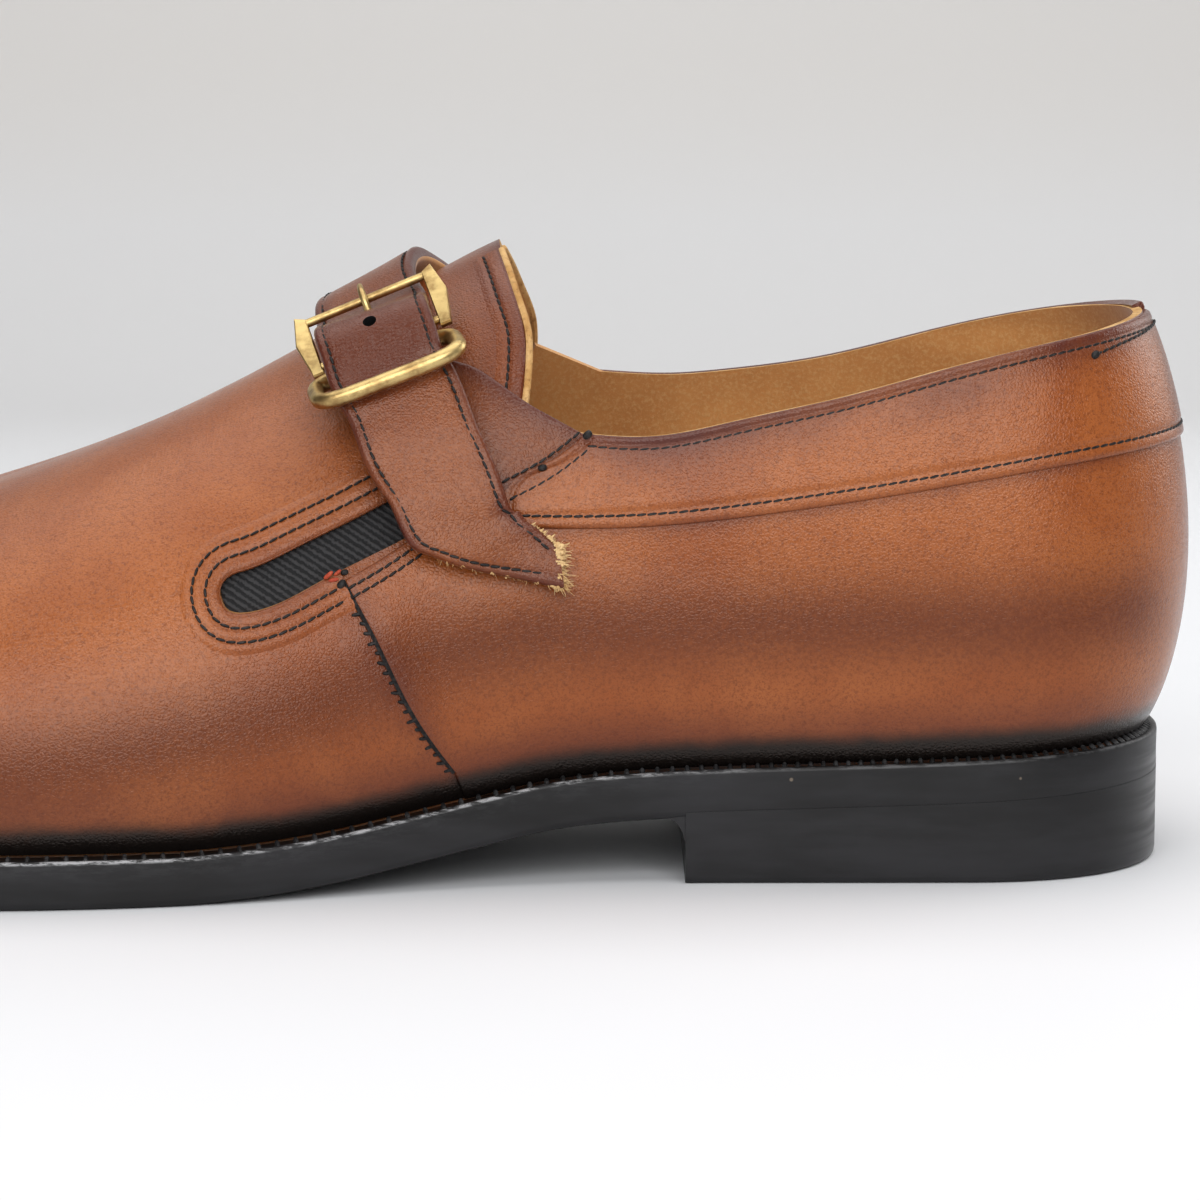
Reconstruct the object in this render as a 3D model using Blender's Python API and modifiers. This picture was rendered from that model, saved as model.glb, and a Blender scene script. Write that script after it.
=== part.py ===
"""A left monk strap loafer, modelled on the sections of its last.

The toe points to -X, the heel to +X, the outer (lateral) side to -Y and up is +Z.
"""
import math

import bmesh
import bpy
import numpy as np
from mathutils import Matrix, Vector

# Driving dimensions, in metres
SOLE_LENGTH = 0.300
BALL_WIDTH = 0.106
INSTEP_HEIGHT = 0.100
HEEL_HEIGHT = 0.0105
HEEL_LENGTH = 0.079
TOE_SPRING = 0.0095
OUTSOLE_THICK = 0.0046
WELT_THICK = 0.0028
WELT_REACH = 0.0038
EDGE_CHAMFER = 0.0010
WALL = 0.0020
BAND_STEP = 0.0008
INSOLE_THICK = 0.0042
GAP = 0.0003
SLOT_WIDTH = 0.0064
GORE_OVERLAP = 0.0034
GORE_THICK = 0.0010
GORE_GAP = 0.0005
STRAP_WIDTH = 0.0188
STRAP_THICK = 0.0028
CHAPE_WIDTH = 0.0150
CHAPE_THICK = 0.0014
OUTER_BAR = 0.0014
CHAPE_BAR = 0.0014
SIDE_PLATE_WIDTH = 0.0030
SIDE_PLATE_THICK = 0.0016
SIDE_PLATE_REACH = 0.0016
PRONG_WIRE = 0.0012
PRONG_TIP = 0.0024
RING_WIRE = 0.0026
RING_RISE = 0.0110
RING_TILT = math.radians(44)

# Columns from toe to heel along each side, and rows from sole to ridge
COLUMNS = 36
ROWS_BELOW_BAND = 8
ROWS_ABOVE_BAND = 8
COLUMN_STEP = 1e-4

LATERAL, MEDIAL = -1, 1

# The sole's plan: swing and half width are shares of BALL_WIDTH, the ledge is the
# visible top of the welt, in shares of WELT_REACH
SOLE_PLAN = (
    # station, swing, half_width, ledge
    (0.00, 0.000, 0.318, 0.80),
    (0.12, 0.000, 0.320, 0.80),
    (0.20, -0.005, 0.316, 0.80),
    (0.27, -0.016, 0.308, 0.84),
    (0.34, -0.038, 0.306, 0.92),
    (0.405, -0.062, 0.324, 1.00),
    (0.47, -0.080, 0.366, 1.05),
    (0.54, -0.076, 0.420, 1.08),
    (0.61, -0.053, 0.466, 1.10),
    (0.675, -0.028, 0.492, 1.10),
    (0.74, -0.008, 0.499, 1.10),
    (0.82, 0.006, 0.478, 1.10),
    (0.91, 0.014, 0.425, 1.10),
    (1.00, 0.018, 0.360, 1.10),
)
# The underside: heel rise in shares of HEEL_HEIGHT, toe rise in shares of TOE_SPRING
UNDERSIDE = (
    # station, heel_rise, toe_rise
    (0.00, 1.30, 0.00),
    (0.13, 1.12, 0.00),
    (0.263, 1.00, 0.00),
    (0.298, 0.95, 0.00),
    (0.333, 0.85, 0.00),
    (0.363, 0.68, 0.00),
    (0.403, 0.44, 0.00),
    (0.45, 0.19, 0.00),
    (0.49, 0.06, 0.00),
    (0.53, 0.00, 0.00),
    (0.62, 0.00, 0.00),
    (0.68, 0.00, 0.05),
    (0.76, 0.00, 0.19),
    (0.84, 0.00, 0.42),
    (0.92, 0.00, 0.70),
    (1.00, 0.00, 1.00),
)
# The top line of the closed last: height in shares of INSTEP_HEIGHT, offset toward
# the medial side in shares of BALL_WIDTH
RIDGE = (
    # station, height, offset
    (0.110, 1.040, 0.000),
    (0.160, 1.080, 0.000),
    (0.235, 1.100, 0.010),
    (0.307, 1.065, 0.020),
    (0.367, 1.005, 0.028),
    (0.420, 0.920, 0.030),
    (0.473, 0.833, 0.030),
    (0.517, 0.762, 0.030),
    (0.553, 0.711, 0.030),
    (0.597, 0.658, 0.030),
    (0.640, 0.614, 0.030),
    (0.683, 0.572, 0.030),
    (0.750, 0.508, 0.028),
    (0.800, 0.464, 0.025),
    (0.842, 0.434, 0.022),
    (0.880, 0.422, 0.020),
)
# The sections of the last: squareness of the superellipse and the side's bulge in
# shares of BALL_WIDTH
SECTION = (
    # station, squareness, lateral_bulge, medial_bulge
    (0.00, 4.5, 0.070, 0.070),
    (0.04, 3.9, 0.060, 0.060),
    (0.12, 3.0, 0.044, 0.044),
    (0.26, 2.5, 0.048, 0.062),
    (0.40, 2.1, 0.048, 0.076),
    (0.50, 2.0, 0.040, 0.062),
    (0.65, 2.1, 0.029, 0.029),
    (0.85, 2.2, 0.024, 0.024),
    (1.00, 2.3, 0.029, 0.029),
)
TOE_ROUND, TOE_POWER = 0.20, 2.15
HEEL_ROUND, HEEL_POWER = 0.115, 2.25
BULGE_POWER = 0.70

# The folded edge of the collar band on the side view, carried on to the toe: heights
# in shares of INSTEP_HEIGHT
BAND_LINE = (
    # station, height
    (-0.02, 0.700),
    (0.067, 0.665),
    (0.130, 0.632),
    (0.217, 0.592),
    (0.287, 0.570),
    (0.340, 0.568),
    (0.420, 0.570),
    (0.500, 0.540),
    (0.600, 0.450),
    (0.750, 0.340),
    (0.880, 0.270),
    (1.00, 0.210),
)


def natural_spline(table, column):
    """A smooth curve through one column of a table, against its first column."""
    knots = np.array([row[0] for row in table], float)
    values = np.array([row[column] for row in table], float)
    widths = np.diff(knots)
    slopes = np.diff(values) / widths
    system = np.eye(len(knots))
    right = np.zeros(len(knots))
    for i in range(1, len(knots) - 1):
        system[i, i - 1:i + 2] = widths[i - 1], 2 * (widths[i - 1] + widths[i]), widths[i]
        right[i] = 6 * (slopes[i] - slopes[i - 1])
    bends = np.linalg.solve(system, right)

    def at(place):
        place = np.clip(np.asarray(place, float), knots[0], knots[-1])
        k = np.clip(np.searchsorted(knots, place) - 1, 0, len(knots) - 2)
        after, before, width = place - knots[k], knots[k + 1] - place, widths[k]
        bent = (bends[k] * before**3 + bends[k + 1] * after**3) / (6 * width)
        left = (values[k] / width - bends[k] * width / 6) * before
        return bent + left + (values[k + 1] / width - bends[k + 1] * width / 6) * after

    return at


def steady_spline(table, column):
    """A curve through one column that never swings past its values."""
    knots = np.array([row[0] for row in table], float)
    values = np.array([row[column] for row in table], float)
    slopes = np.diff(values) / np.diff(knots)
    tangents = np.zeros(len(knots))
    tangents[0], tangents[-1] = slopes[0], slopes[-1]
    for i in range(1, len(knots) - 1):
        if slopes[i - 1] * slopes[i] > 0:
            tangents[i] = 2 * slopes[i - 1] * slopes[i] / (slopes[i - 1] + slopes[i])

    def at(place):
        place = np.asarray(place, float)
        k = np.clip(np.searchsorted(knots, place) - 1, 0, len(knots) - 2)
        width = knots[k + 1] - knots[k]
        t = np.clip((place - knots[k]) / width, 0, 1)
        start = values[k] * (1 + 2 * t) * (1 - t)**2 + width * tangents[k] * t * (1 - t)**2
        return start + values[k + 1] * t * t * (3 - 2 * t) - width * tangents[k + 1] * t * t * (1 - t)

    return at


swing = natural_spline(SOLE_PLAN, 1)
half_width = natural_spline(SOLE_PLAN, 2)
ledge_share = steady_spline(SOLE_PLAN, 3)
heel_rise = steady_spline(UNDERSIDE, 1)
toe_rise = steady_spline(UNDERSIDE, 2)
ridge_height = natural_spline(RIDGE, 1)
ridge_offset = steady_spline(RIDGE, 2)
squareness = steady_spline(SECTION, 1)
lateral_bulge = steady_spline(SECTION, 2)
medial_bulge = steady_spline(SECTION, 3)
band_height = natural_spline(BAND_LINE, 1)


def station_of(column):
    """Share of the sole's length, from the heel, of a column: 0 at the toe, 1 at the heel."""
    return (1 + np.cos(math.pi * np.asarray(column, float))) / 2


def end_rounding(station):
    toe = np.clip((station - (1 - TOE_ROUND)) / TOE_ROUND, 0, 1)
    heel = np.clip((HEEL_ROUND - station) / HEEL_ROUND, 0, 1)
    return (1 - toe**TOE_POWER)**(1 / TOE_POWER) * (1 - heel**HEEL_POWER)**(1 / HEEL_POWER)


def sole_edge(column, side):
    """Plan of the sole's edge, as distance from the heel's end and Y."""
    station = station_of(column)
    y = BALL_WIDTH * (swing(station) + side * half_width(station) * end_rounding(station))
    return np.stack([station * SOLE_LENGTH, y], -1)


def outward(column, side):
    """Unit vector out of the sole's edge, in plan."""
    column = np.asarray(column, float)
    side = np.broadcast_to(np.asarray(side, float), column.shape)
    before = sole_edge(np.abs(column - COLUMN_STEP), np.where(column < COLUMN_STEP, -side, side))
    past = column + COLUMN_STEP > 1
    after = np.where(past, 2 - column - COLUMN_STEP, column + COLUMN_STEP)
    along = sole_edge(after, np.where(past, -side, side)) - before
    normal = np.stack([along[..., 1], -along[..., 0]], -1) * side[..., None]
    return normal / np.linalg.norm(normal, axis=-1, keepdims=True)


def inset_edge(column, side, inset):
    return sole_edge(column, side) - outward(column, side) * np.asarray(inset)[..., None]


def underside(from_heel):
    station = np.asarray(from_heel) / SOLE_LENGTH
    return HEEL_HEIGHT * heel_rise(station) + TOE_SPRING * toe_rise(station)


FEATHER_RISE = OUTSOLE_THICK + WELT_THICK + 2 * GAP


def ridge_point(column):
    first, last = RIDGE[0][0], RIDGE[-1][0]
    station = first + (last - first) * station_of(column)
    height = INSTEP_HEIGHT * ridge_height(station)
    return np.stack([station * SOLE_LENGTH, BALL_WIDTH * ridge_offset(station), height], -1)


def last_point(column, turn, side):
    """A point on the last: turn is 0 at the sole and 1 at the ridge.

    The point is distance from the heel's end, Y and Z.
    """
    column, turn, side = np.broadcast_arrays(
        np.asarray(column, float), np.asarray(turn, float), np.asarray(side, float))
    station = station_of(column)
    foot = inset_edge(column, side, ledge_share(station) * WELT_REACH)
    top = ridge_point(column)
    power = squareness(station)
    across, up = np.cos(turn * math.pi / 2), np.sin(turn * math.pi / 2)
    stretch = (np.abs(across)**power + np.abs(up)**power)**(1 / power)
    across, up = across / stretch, up / stretch
    bulge = BALL_WIDTH * np.where(side < 0, lateral_bulge(station), medial_bulge(station))
    bulge = bulge * np.sin(math.pi * np.clip(up, 0, 1)**BULGE_POWER)
    plan = top[..., :2] + (foot - top[..., :2]) * across[..., None]
    plan = plan + outward(column, side) * bulge[..., None]
    base = underside(foot[..., 0]) + FEATHER_RISE
    return np.concatenate([plan, (base + (top[..., 2] - base) * up)[..., None]], -1)


def turn_at_height(column, side, height_line):
    """The turn at which a column meets a line drawn on the side view."""
    low = np.zeros(np.shape(column))
    high = np.ones(np.shape(column))
    for _ in range(30):
        middle = (low + high) / 2
        point = last_point(column, middle, side)
        under = point[..., 2] < INSTEP_HEIGHT * height_line(point[..., 0] / SOLE_LENGTH)
        low = np.where(under, middle, low)
        high = np.where(under, high, middle)
    return (low + high) / 2


def place_on_last(station, height, side):
    """Column and turn of a point given by its station and height on the side view."""
    station, height = np.broadcast_arrays(np.asarray(station, float), np.asarray(height, float))
    low, high = np.zeros(station.shape), np.ones(station.shape)
    turn = np.full(station.shape, 0.5)
    for _ in range(26):
        column = (low + high) / 2
        turn = turn_at_height(column, side, lambda _: height)
        ahead = last_point(column, turn, side)[..., 0] > station * SOLE_LENGTH
        low = np.where(ahead, column, low)
        high = np.where(ahead, high, column)
    return (low + high) / 2, turn


def wrapped_point(column, turn, side):
    """A point on the last where a step may cross the ridge, the toe or the heel's back."""
    crossed = (column < 0) | (column > 1)
    side = np.where(crossed, -side, side)
    column = np.where(column < 0, -column, np.where(column > 1, 2 - column, column))
    side = np.where(turn > 1, -side, side)
    turn = np.where(turn > 1, 2 - turn, turn)
    return last_point(column, turn, side)


def last_normal(column, turn, side):
    """Unit vector out of the last, in the frame of distance from the heel's end, Y and Z."""
    column, turn, side = np.broadcast_arrays(
        np.asarray(column, float), np.asarray(turn, float), np.asarray(side, float))
    step = 1e-3
    along = wrapped_point(column + step, turn, side) - wrapped_point(column - step, turn, side)
    upward = wrapped_point(column, turn + step, side) - wrapped_point(column, np.maximum(turn - step, 0), side)
    normal = np.cross(upward, along) * -side[..., None]
    return normal / np.linalg.norm(normal, axis=-1, keepdims=True)


# The topline, seen from the side, with the back of the tab
COLLAR = (
    # lateral_station, lateral_height, medial_station, medial_height
    (-0.100, 0.960, -0.100, 0.960),
    (-0.030, 0.921, -0.030, 0.926),
    (0.020, 0.887, 0.016, 0.903),
    (0.083, 0.848, 0.083, 0.866),
    (0.131, 0.812, 0.131, 0.832),
    (0.180, 0.772, 0.180, 0.797),
    (0.237, 0.734, 0.237, 0.774),
    (0.275, 0.711, 0.273, 0.768),
    (0.313, 0.712, 0.313, 0.776),
    (0.338, 0.728, 0.338, 0.788),
    (0.350, 0.755, 0.350, 0.810),
    (0.3485, 0.820, 0.3485, 0.855),
    (0.350, 0.880, 0.350, 0.895),
    (0.360, 0.970, 0.360, 0.970),
    (0.366, 1.030, 0.366, 1.030),
    (0.372, 1.180, 0.372, 1.180),
)
COLLAR_BLEND = (-0.70, -0.22, -0.08, 0.08, 0.22, 0.70)
# The middle line of the gusset slot, seen from the side
SLOT = (
    # station, height, width share of SLOT_WIDTH
    (0.505, 0.4700, 0.10),
    (0.5030, 0.4715, 0.62),
    (0.4980, 0.4745, 0.92),
    (0.4920, 0.4775, 1.00),
    (0.460, 0.5170, 1.00),
    (0.420, 0.5750, 1.00),
    (0.385, 0.6320, 1.00),
    (0.355, 0.6950, 1.00),
    (0.335, 0.7600, 1.00),
    (0.322, 0.8400, 1.00),
)
STRAP = (
    # station, turn, side, lift, left and right reach in half widths, skew
    (0.349, 0.320, MEDIAL, 0.0013, 1.16, 1.50, 0.0),
    (0.366, 0.430, MEDIAL, 0.0016, 1.10, 1.32, 0.0),
    (0.384, 0.560, MEDIAL, 0.0028, 1.04, 1.14, 0.0),
    (0.402, 0.700, MEDIAL, 0.0044, 1.00, 1.02, 0.0),
    (0.417, 0.860, MEDIAL, 0.0054, 1.00, 1.00, 0.0),
    (0.425, 0.985, LATERAL, 0.0052, 1.00, 1.00, 0.0),
    (0.427, 0.880, LATERAL, 0.0044, 1.00, 1.00, 0.0),
    (0.425, 0.780, LATERAL, 0.0042, 1.00, 1.00, 0.0),
    (0.423, 0.730, LATERAL, 0.0061, 1.00, 1.00, 0.0),
    (0.421, 0.680, LATERAL, 0.0077, 1.00, 1.00, 0.0),
    (0.418, 0.630, LATERAL, 0.0078, 1.00, 1.00, 0.0),
    (0.4155, 0.590, LATERAL, 0.0071, 1.00, 1.00, 0.0),
    (0.410, 0.550, LATERAL, 0.0063, 0.99, 0.99, 0.0),
    (0.401, 0.467, LATERAL, 0.0050, 0.99, 0.99, -0.23),
    (0.389, 0.388, LATERAL, 0.0044, 0.92, 0.92, -0.32),
    (0.381, 0.344, LATERAL, 0.0040, 0.86, 0.86, -0.43),
    (0.371, 0.318, LATERAL, 0.0034, 0.61, 0.61, -0.57),
    (0.353, 0.288, LATERAL, 0.0026, 0.45, 0.45, -0.36),
    (0.3295, 0.256, LATERAL, 0.0026, 0.33, 0.33, 0.15),
)
# Rows of STRAP at the buckle's two bars and at the ring
AT_OUTER_BAR, AT_CHAPE_BAR, AT_RING = 7, 9, 11
# The buckle tab from its root to the chape bar
CHAPE = (
    # station, turn, side, lift, left and right reach in half widths, skew
    (0.3370, 0.388, LATERAL, 0.0022, 0.94, 0.94, -0.60),
    (0.3600, 0.440, LATERAL, 0.0018, 1.00, 1.00, -0.30),
    (0.3850, 0.520, LATERAL, 0.0012, 1.00, 1.00, 0.0),
    (0.4050, 0.590, LATERAL, 0.0010, 0.82, 0.80, 0.0),
)
# The prong's shank beyond its loop, toward and over the outer bar
PRONG_SHANK = (
    # along in shares of the bars' spacing, rise in shares from loop to over the bar
    (0.30, -0.04),
    (0.50, 0.05),
    (0.66, 0.42),
    (0.80, 0.82),
    (1.00, 1.00),
)
CHAPE_CURL = (-90, -60, -30, 0, 30, 60, 90, 110)
PRONG_LOOP = (-20, -60, -100, -140, -180, -220, -250)
PLATE_OUTLINE = (
    # across in shares of the plate's width, along in shares of its length
    (-0.5, -0.50),
    (0.1, -0.50),
    (0.5, 0.05),
    (0.1, 0.50),
    (-0.5, 0.42),
)

# Smaller sizes and counts
WELT_SEAT = 0.0012
BAND_RAMP = 0.008
BAND_FADE = 0.012
BAND_FRONT_FOOT, BAND_FRONT_TOP = 0.345, 0.305
BAND_FRONT_LOW, BAND_FRONT_HIGH = 0.57, 0.72
COLLAR_SAMPLES = 44
SLOT_SAMPLES = 36
SLOT_CUT_FROM, SLOT_CUT_TO = 0.06, 0.70
GORE_SAMPLES, GORE_ROWS, GORE_TRIM = 28, 5, 1
STRAP_SAMPLES = 46
CHAPE_SAMPLES = 20
RING_POINTS = 28
RING_POWER = 4.0
RING_SIDE_ROOM = 0.0008
RING_SHIFT = -0.0004
ROUND_SIDES = 12
PRONG_NOTCH = 0.0024
PRONG_HOLE = 0.0031
CURL_REACH = (0.76, 0.66, 0.0)
BUCKLE_EASE = 0.0006


def to_world(points):
    points = np.asarray(points, float)
    return np.stack([-points[..., 0], points[..., 1], points[..., 2]], -1)


def place_by_turn(station, turn, side):
    """The column whose point at this turn has this station."""
    station, turn, side = np.broadcast_arrays(
        np.asarray(station, float), np.asarray(turn, float), np.asarray(side, float))
    low, high = np.zeros(station.shape), np.ones(station.shape)
    for _ in range(30):
        column = (low + high) / 2
        ahead = last_point(column, turn, side)[..., 0] > station * SOLE_LENGTH
        low = np.where(ahead, column, low)
        high = np.where(ahead, high, column)
    return (low + high) / 2


def lifted(station, turn, side, lift):
    """A world point at a lift off the last, and the last's normal there."""
    column = place_by_turn(station, turn, side)
    normal = last_normal(column, turn, side)
    point = last_point(column, turn, side) + normal * np.asarray(lift)[..., None]
    return to_world(point), to_world(normal)


def make_material(name, colour, roughness, metallic=0.0):
    material = bpy.data.materials.new(name)
    material.use_nodes = True
    shader = material.node_tree.nodes["Principled BSDF"]
    shader.inputs["Base Color"].default_value = (*colour, 1.0)
    shader.inputs["Roughness"].default_value = roughness
    shader.inputs["Metallic"].default_value = metallic
    return material


def make_object(name, vertices, faces, material, collection, smooth_angle=35):
    mesh = bpy.data.meshes.new(name)
    mesh.from_pydata([tuple(vertex) for vertex in vertices], [], faces)
    form = bmesh.new()
    form.from_mesh(mesh)
    bmesh.ops.remove_doubles(form, verts=form.verts, dist=1e-6)
    bmesh.ops.dissolve_degenerate(form, edges=form.edges, dist=1e-7)
    bmesh.ops.recalc_face_normals(form, faces=form.faces)
    if form.calc_volume(signed=True) < 0:
        bmesh.ops.reverse_faces(form, faces=form.faces)
    form.to_mesh(mesh)
    form.free()
    mesh.shade_smooth()
    mesh.set_sharp_from_angle(angle=math.radians(smooth_angle))
    if material:
        mesh.materials.append(material)
    item = bpy.data.objects.new(name, mesh)
    collection.objects.link(item)
    return item


def grid_faces(rows, columns, closed_rows=False, start=0):
    """Quads over a grid of rows by columns of vertices."""
    faces = []
    for i in range(rows if closed_rows else rows - 1):
        for j in range(columns - 1):
            a = start + i * columns + j
            b = start + (i + 1) % rows * columns + j
            faces.append((a, b, b + 1, a + 1))
    return faces


def loft(sections):
    """A closed solid through rings of equal count, with flat ends."""
    sections = np.asarray(sections)
    count, ring = sections.shape[:2]
    vertices = sections.reshape(-1, 3)
    faces = []
    for i in range(count - 1):
        for j in range(ring):
            k = (j + 1) % ring
            faces.append((i * ring + j, i * ring + k, (i + 1) * ring + k, (i + 1) * ring + j))
    faces.append(tuple(range(ring)))
    faces.append(tuple(reversed(range((count - 1) * ring, count * ring))))
    return vertices, faces


def boolean(item, cutter, operation="DIFFERENCE"):
    modifier = item.modifiers.new(cutter.name, "BOOLEAN")
    modifier.operation = operation
    modifier.solver = "EXACT"
    modifier.object = cutter
    cutter.hide_render = True
    cutter.display_type = "WIRE"


def sole_columns(first_station=1.0):
    """Columns from a station back to the heel's end."""
    start = math.acos(2 * first_station - 1) / math.pi
    return np.linspace(start, 1, max(8, round(COLUMNS * (1 - start))) + 1)


def slab(columns, levels):
    """A solid of the sole's outline: each level is (inset, height function)."""
    sections = []
    for column in columns:
        ring = []
        for side, order in ((LATERAL, levels), (MEDIAL, levels[::-1])):
            for inset, height in order:
                plan = inset_edge(column, side, inset)
                ring.append((plan[0], plan[1], float(height(plan[0]))))
        sections.append(ring)
    return to_world(np.array(sections))


def build_outsole(material, collection):
    """The outsole, with its arch, toe spring and chamfered lower edge."""
    levels = (
        (EDGE_CHAMFER, underside),
        (0.0, lambda u: underside(u) + EDGE_CHAMFER),
        (0.0, lambda u: underside(u) + OUTSOLE_THICK),
    )
    vertices, faces = loft(slab(sole_columns(), levels))
    return make_object("outsole", vertices, faces, material, collection)


def build_heel(material, collection):
    """The one-block heel, flush with the sole's edge, with a straight breast."""
    levels = (
        (EDGE_CHAMFER, lambda u: 0.0),
        (0.0, lambda u: EDGE_CHAMFER),
        (0.0, lambda u: underside(u) - GAP),
    )
    vertices, faces = loft(slab(sole_columns(HEEL_LENGTH / SOLE_LENGTH), levels))
    return make_object("heel", vertices, faces, material, collection)


def build_welt(material, collection):
    """The strip between upper and outsole, all round the shoe."""
    ring = []
    for column, side in around_the_edge():
        inner = ledge_share(station_of(column)) * WELT_REACH + WALL + WELT_SEAT
        section = []
        for inset, rise in ((0.0, 0.0), (0.0, WELT_THICK), (inner, WELT_THICK), (inner, 0.0)):
            plan = inset_edge(column, side, inset)
            section.append((plan[0], plan[1], underside(plan[0]) + OUTSOLE_THICK + GAP + rise))
        ring.append(section)
    ring = to_world(np.array(ring))
    faces = []
    count = len(ring)
    for i in range(count):
        for j in range(4):
            k, following = (j + 1) % 4, (i + 1) % count
            faces.append((i * 4 + j, i * 4 + k, following * 4 + k, following * 4 + j))
    return make_object("welt", ring.reshape(-1, 3), faces, material, collection)


def around_the_edge():
    """Columns and sides once round the shoe, from the toe along the lateral side."""
    steps = np.linspace(0, 1, COLUMNS + 1)
    return [(column, LATERAL) for column in steps] + [(column, MEDIAL) for column in steps[-2:0:-1]]


def build_insole(material, collection):
    """The insole, on the outsole inside the welt and the foot of the wall."""
    inset = WELT_REACH * max(row[3] for row in SOLE_PLAN) + WALL + WELT_SEAT + 2 * GAP
    levels = (
        (inset, lambda u: underside(u) + OUTSOLE_THICK + GAP),
        (inset, lambda u: underside(u) + OUTSOLE_THICK + GAP + INSOLE_THICK),
    )
    vertices, faces = loft(slab(sole_columns(), levels))
    return make_object("insole", vertices, faces, material, collection)


def band_front(station, height):
    """1 on the collar band, 0 ahead of its slanted front edge."""
    share = (height - BAND_FRONT_LOW) / (BAND_FRONT_HIGH - BAND_FRONT_LOW)
    edge = BAND_FRONT_FOOT + (BAND_FRONT_TOP - BAND_FRONT_FOOT) * share
    return np.clip((edge - station) / BAND_FADE, 0, 1)


def build_upper(material, collection, cutters):
    """One hollow shell round the last, cut open at the collar and the gusset slots."""
    columns = np.linspace(0, 1, COLUMNS + 1)
    vertices, faces = [], []
    for side in (LATERAL, MEDIAL):
        belt = turn_at_height(columns, side, band_height)
        below = [belt * j / ROWS_BELOW_BAND for j in range(ROWS_BELOW_BAND + 1)]
        start = belt + BAND_RAMP
        above = [start + (1 - start) * j / ROWS_ABOVE_BAND for j in range(ROWS_ABOVE_BAND + 1)]
        rows = []
        for number, turn in enumerate(below + above):
            point = last_point(columns, turn, side)
            if number > ROWS_BELOW_BAND and number < ROWS_BELOW_BAND + 1 + ROWS_ABOVE_BAND:
                station, height = point[:, 0] / SOLE_LENGTH, point[:, 2] / INSTEP_HEIGHT
                raised = BAND_STEP * band_front(station, height)
                point = point + last_normal(columns, turn, side) * raised[:, None]
            rows.append(to_world(point))
        grid = np.array(rows)
        first = len(vertices)
        vertices.extend(grid.reshape(-1, 3))
        faces.extend(grid_faces(len(grid), len(columns), start=first))
    upper = make_object("upper", vertices, faces, material, collection)
    wall = upper.modifiers.new("wall", "SOLIDIFY")
    wall.thickness = WALL
    wall.offset = -1
    wall.use_even_offset = True
    boolean(upper, build_collar_cutter(cutters))
    for side, name in ((LATERAL, "lateral"), (MEDIAL, "medial")):
        boolean(upper, build_slot_cutter(name, side, cutters))
    return upper


def chord_spline(points, samples):
    """Smooth samples through points, spaced by their chords."""
    points = np.asarray(points, float)
    chords = np.concatenate([[0], np.cumsum(np.linalg.norm(np.diff(points, axis=0), axis=1))])
    rows = [(chord, *point) for chord, point in zip(chords, points)]
    places = np.linspace(0, chords[-1], samples)
    return np.stack([natural_spline(rows, k + 1)(places) for k in range(points.shape[1])], -1)


def build_collar_cutter(cutters):
    """Everything above the topline and behind the tab, blended between the two sides."""
    outline = np.array(COLLAR) * (SOLE_LENGTH, INSTEP_HEIGHT, SOLE_LENGTH, INSTEP_HEIGHT)
    outline = chord_spline(outline, COLLAR_SAMPLES)
    sections = []
    for share in COLLAR_BLEND:
        blend = np.clip((share - COLLAR_BLEND[1]) / (COLLAR_BLEND[-2] - COLLAR_BLEND[1]), 0, 1)
        along = outline[:, 0] * (1 - blend) + outline[:, 2] * blend
        height = outline[:, 1] * (1 - blend) + outline[:, 3] * blend
        ring = [(u, share * BALL_WIDTH, z) for u, z in zip(along, height)]
        ring.append((along[0], share * BALL_WIDTH, height[-1]))
        sections.append(ring)
    vertices, faces = loft(to_world(np.array(sections)))
    return make_object("collar_cutter", vertices, faces, None, cutters)


def slot_outline(widen=0.0, trim=0):
    """Upper and lower edge of the gusset slot on the side view, front to back."""
    rows = np.array(SLOT)[trim:]
    centre = rows[:, :2] * (SOLE_LENGTH, INSTEP_HEIGHT)
    along = np.gradient(chord_spline(centre, SLOT_SAMPLES), axis=0)
    line = chord_spline(np.column_stack([centre, rows[:, 2] * SLOT_WIDTH / 2 + widen]), SLOT_SAMPLES)
    across = np.stack([along[:, 1], -along[:, 0]], -1)
    across = across / np.linalg.norm(across, axis=1, keepdims=True)
    return line[:, :2] + across * line[:, 2:], line[:, :2] - across * line[:, 2:]


def build_slot_cutter(name, side, cutters):
    """A curved slot drawn on the side view and driven through one wall."""
    upper_edge, lower_edge = slot_outline()
    outline = np.concatenate([upper_edge, lower_edge[::-1]])
    sections = []
    for share in (SLOT_CUT_FROM, SLOT_CUT_TO):
        sections.append([(u, side * share * BALL_WIDTH, z) for u, z in outline])
    vertices, faces = loft(to_world(np.array(sections)))
    return make_object(f"slot_cutter_{name}", vertices, faces, None, cutters)


def build_gore(name, side, material, collection):
    """The elastic behind one slot, against the inner face of the wall."""
    upper_edge, lower_edge = slot_outline(GORE_OVERLAP, GORE_TRIM)
    blend = np.linspace(0, 1, GORE_ROWS)[None, :, None]
    plan = upper_edge[:GORE_SAMPLES, None] * (1 - blend) + lower_edge[:GORE_SAMPLES, None] * blend
    station, height = plan[..., 0] / SOLE_LENGTH, plan[..., 1] / INSTEP_HEIGHT
    column, turn = place_on_last(station, height, side)
    point = last_point(column, turn, side)
    normal = last_normal(column, turn, side)
    sheets = []
    for depth in (WALL + GORE_GAP, WALL + GORE_GAP + GORE_THICK):
        sheets.append(to_world(point - normal * depth))
    rings = []
    for outer, inner in zip(*sheets):
        rings.append(np.concatenate([outer, inner[::-1]]))
    vertices, faces = loft(np.array(rings))
    return make_object(f"gore_{name}", vertices, faces, material, collection)


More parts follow.
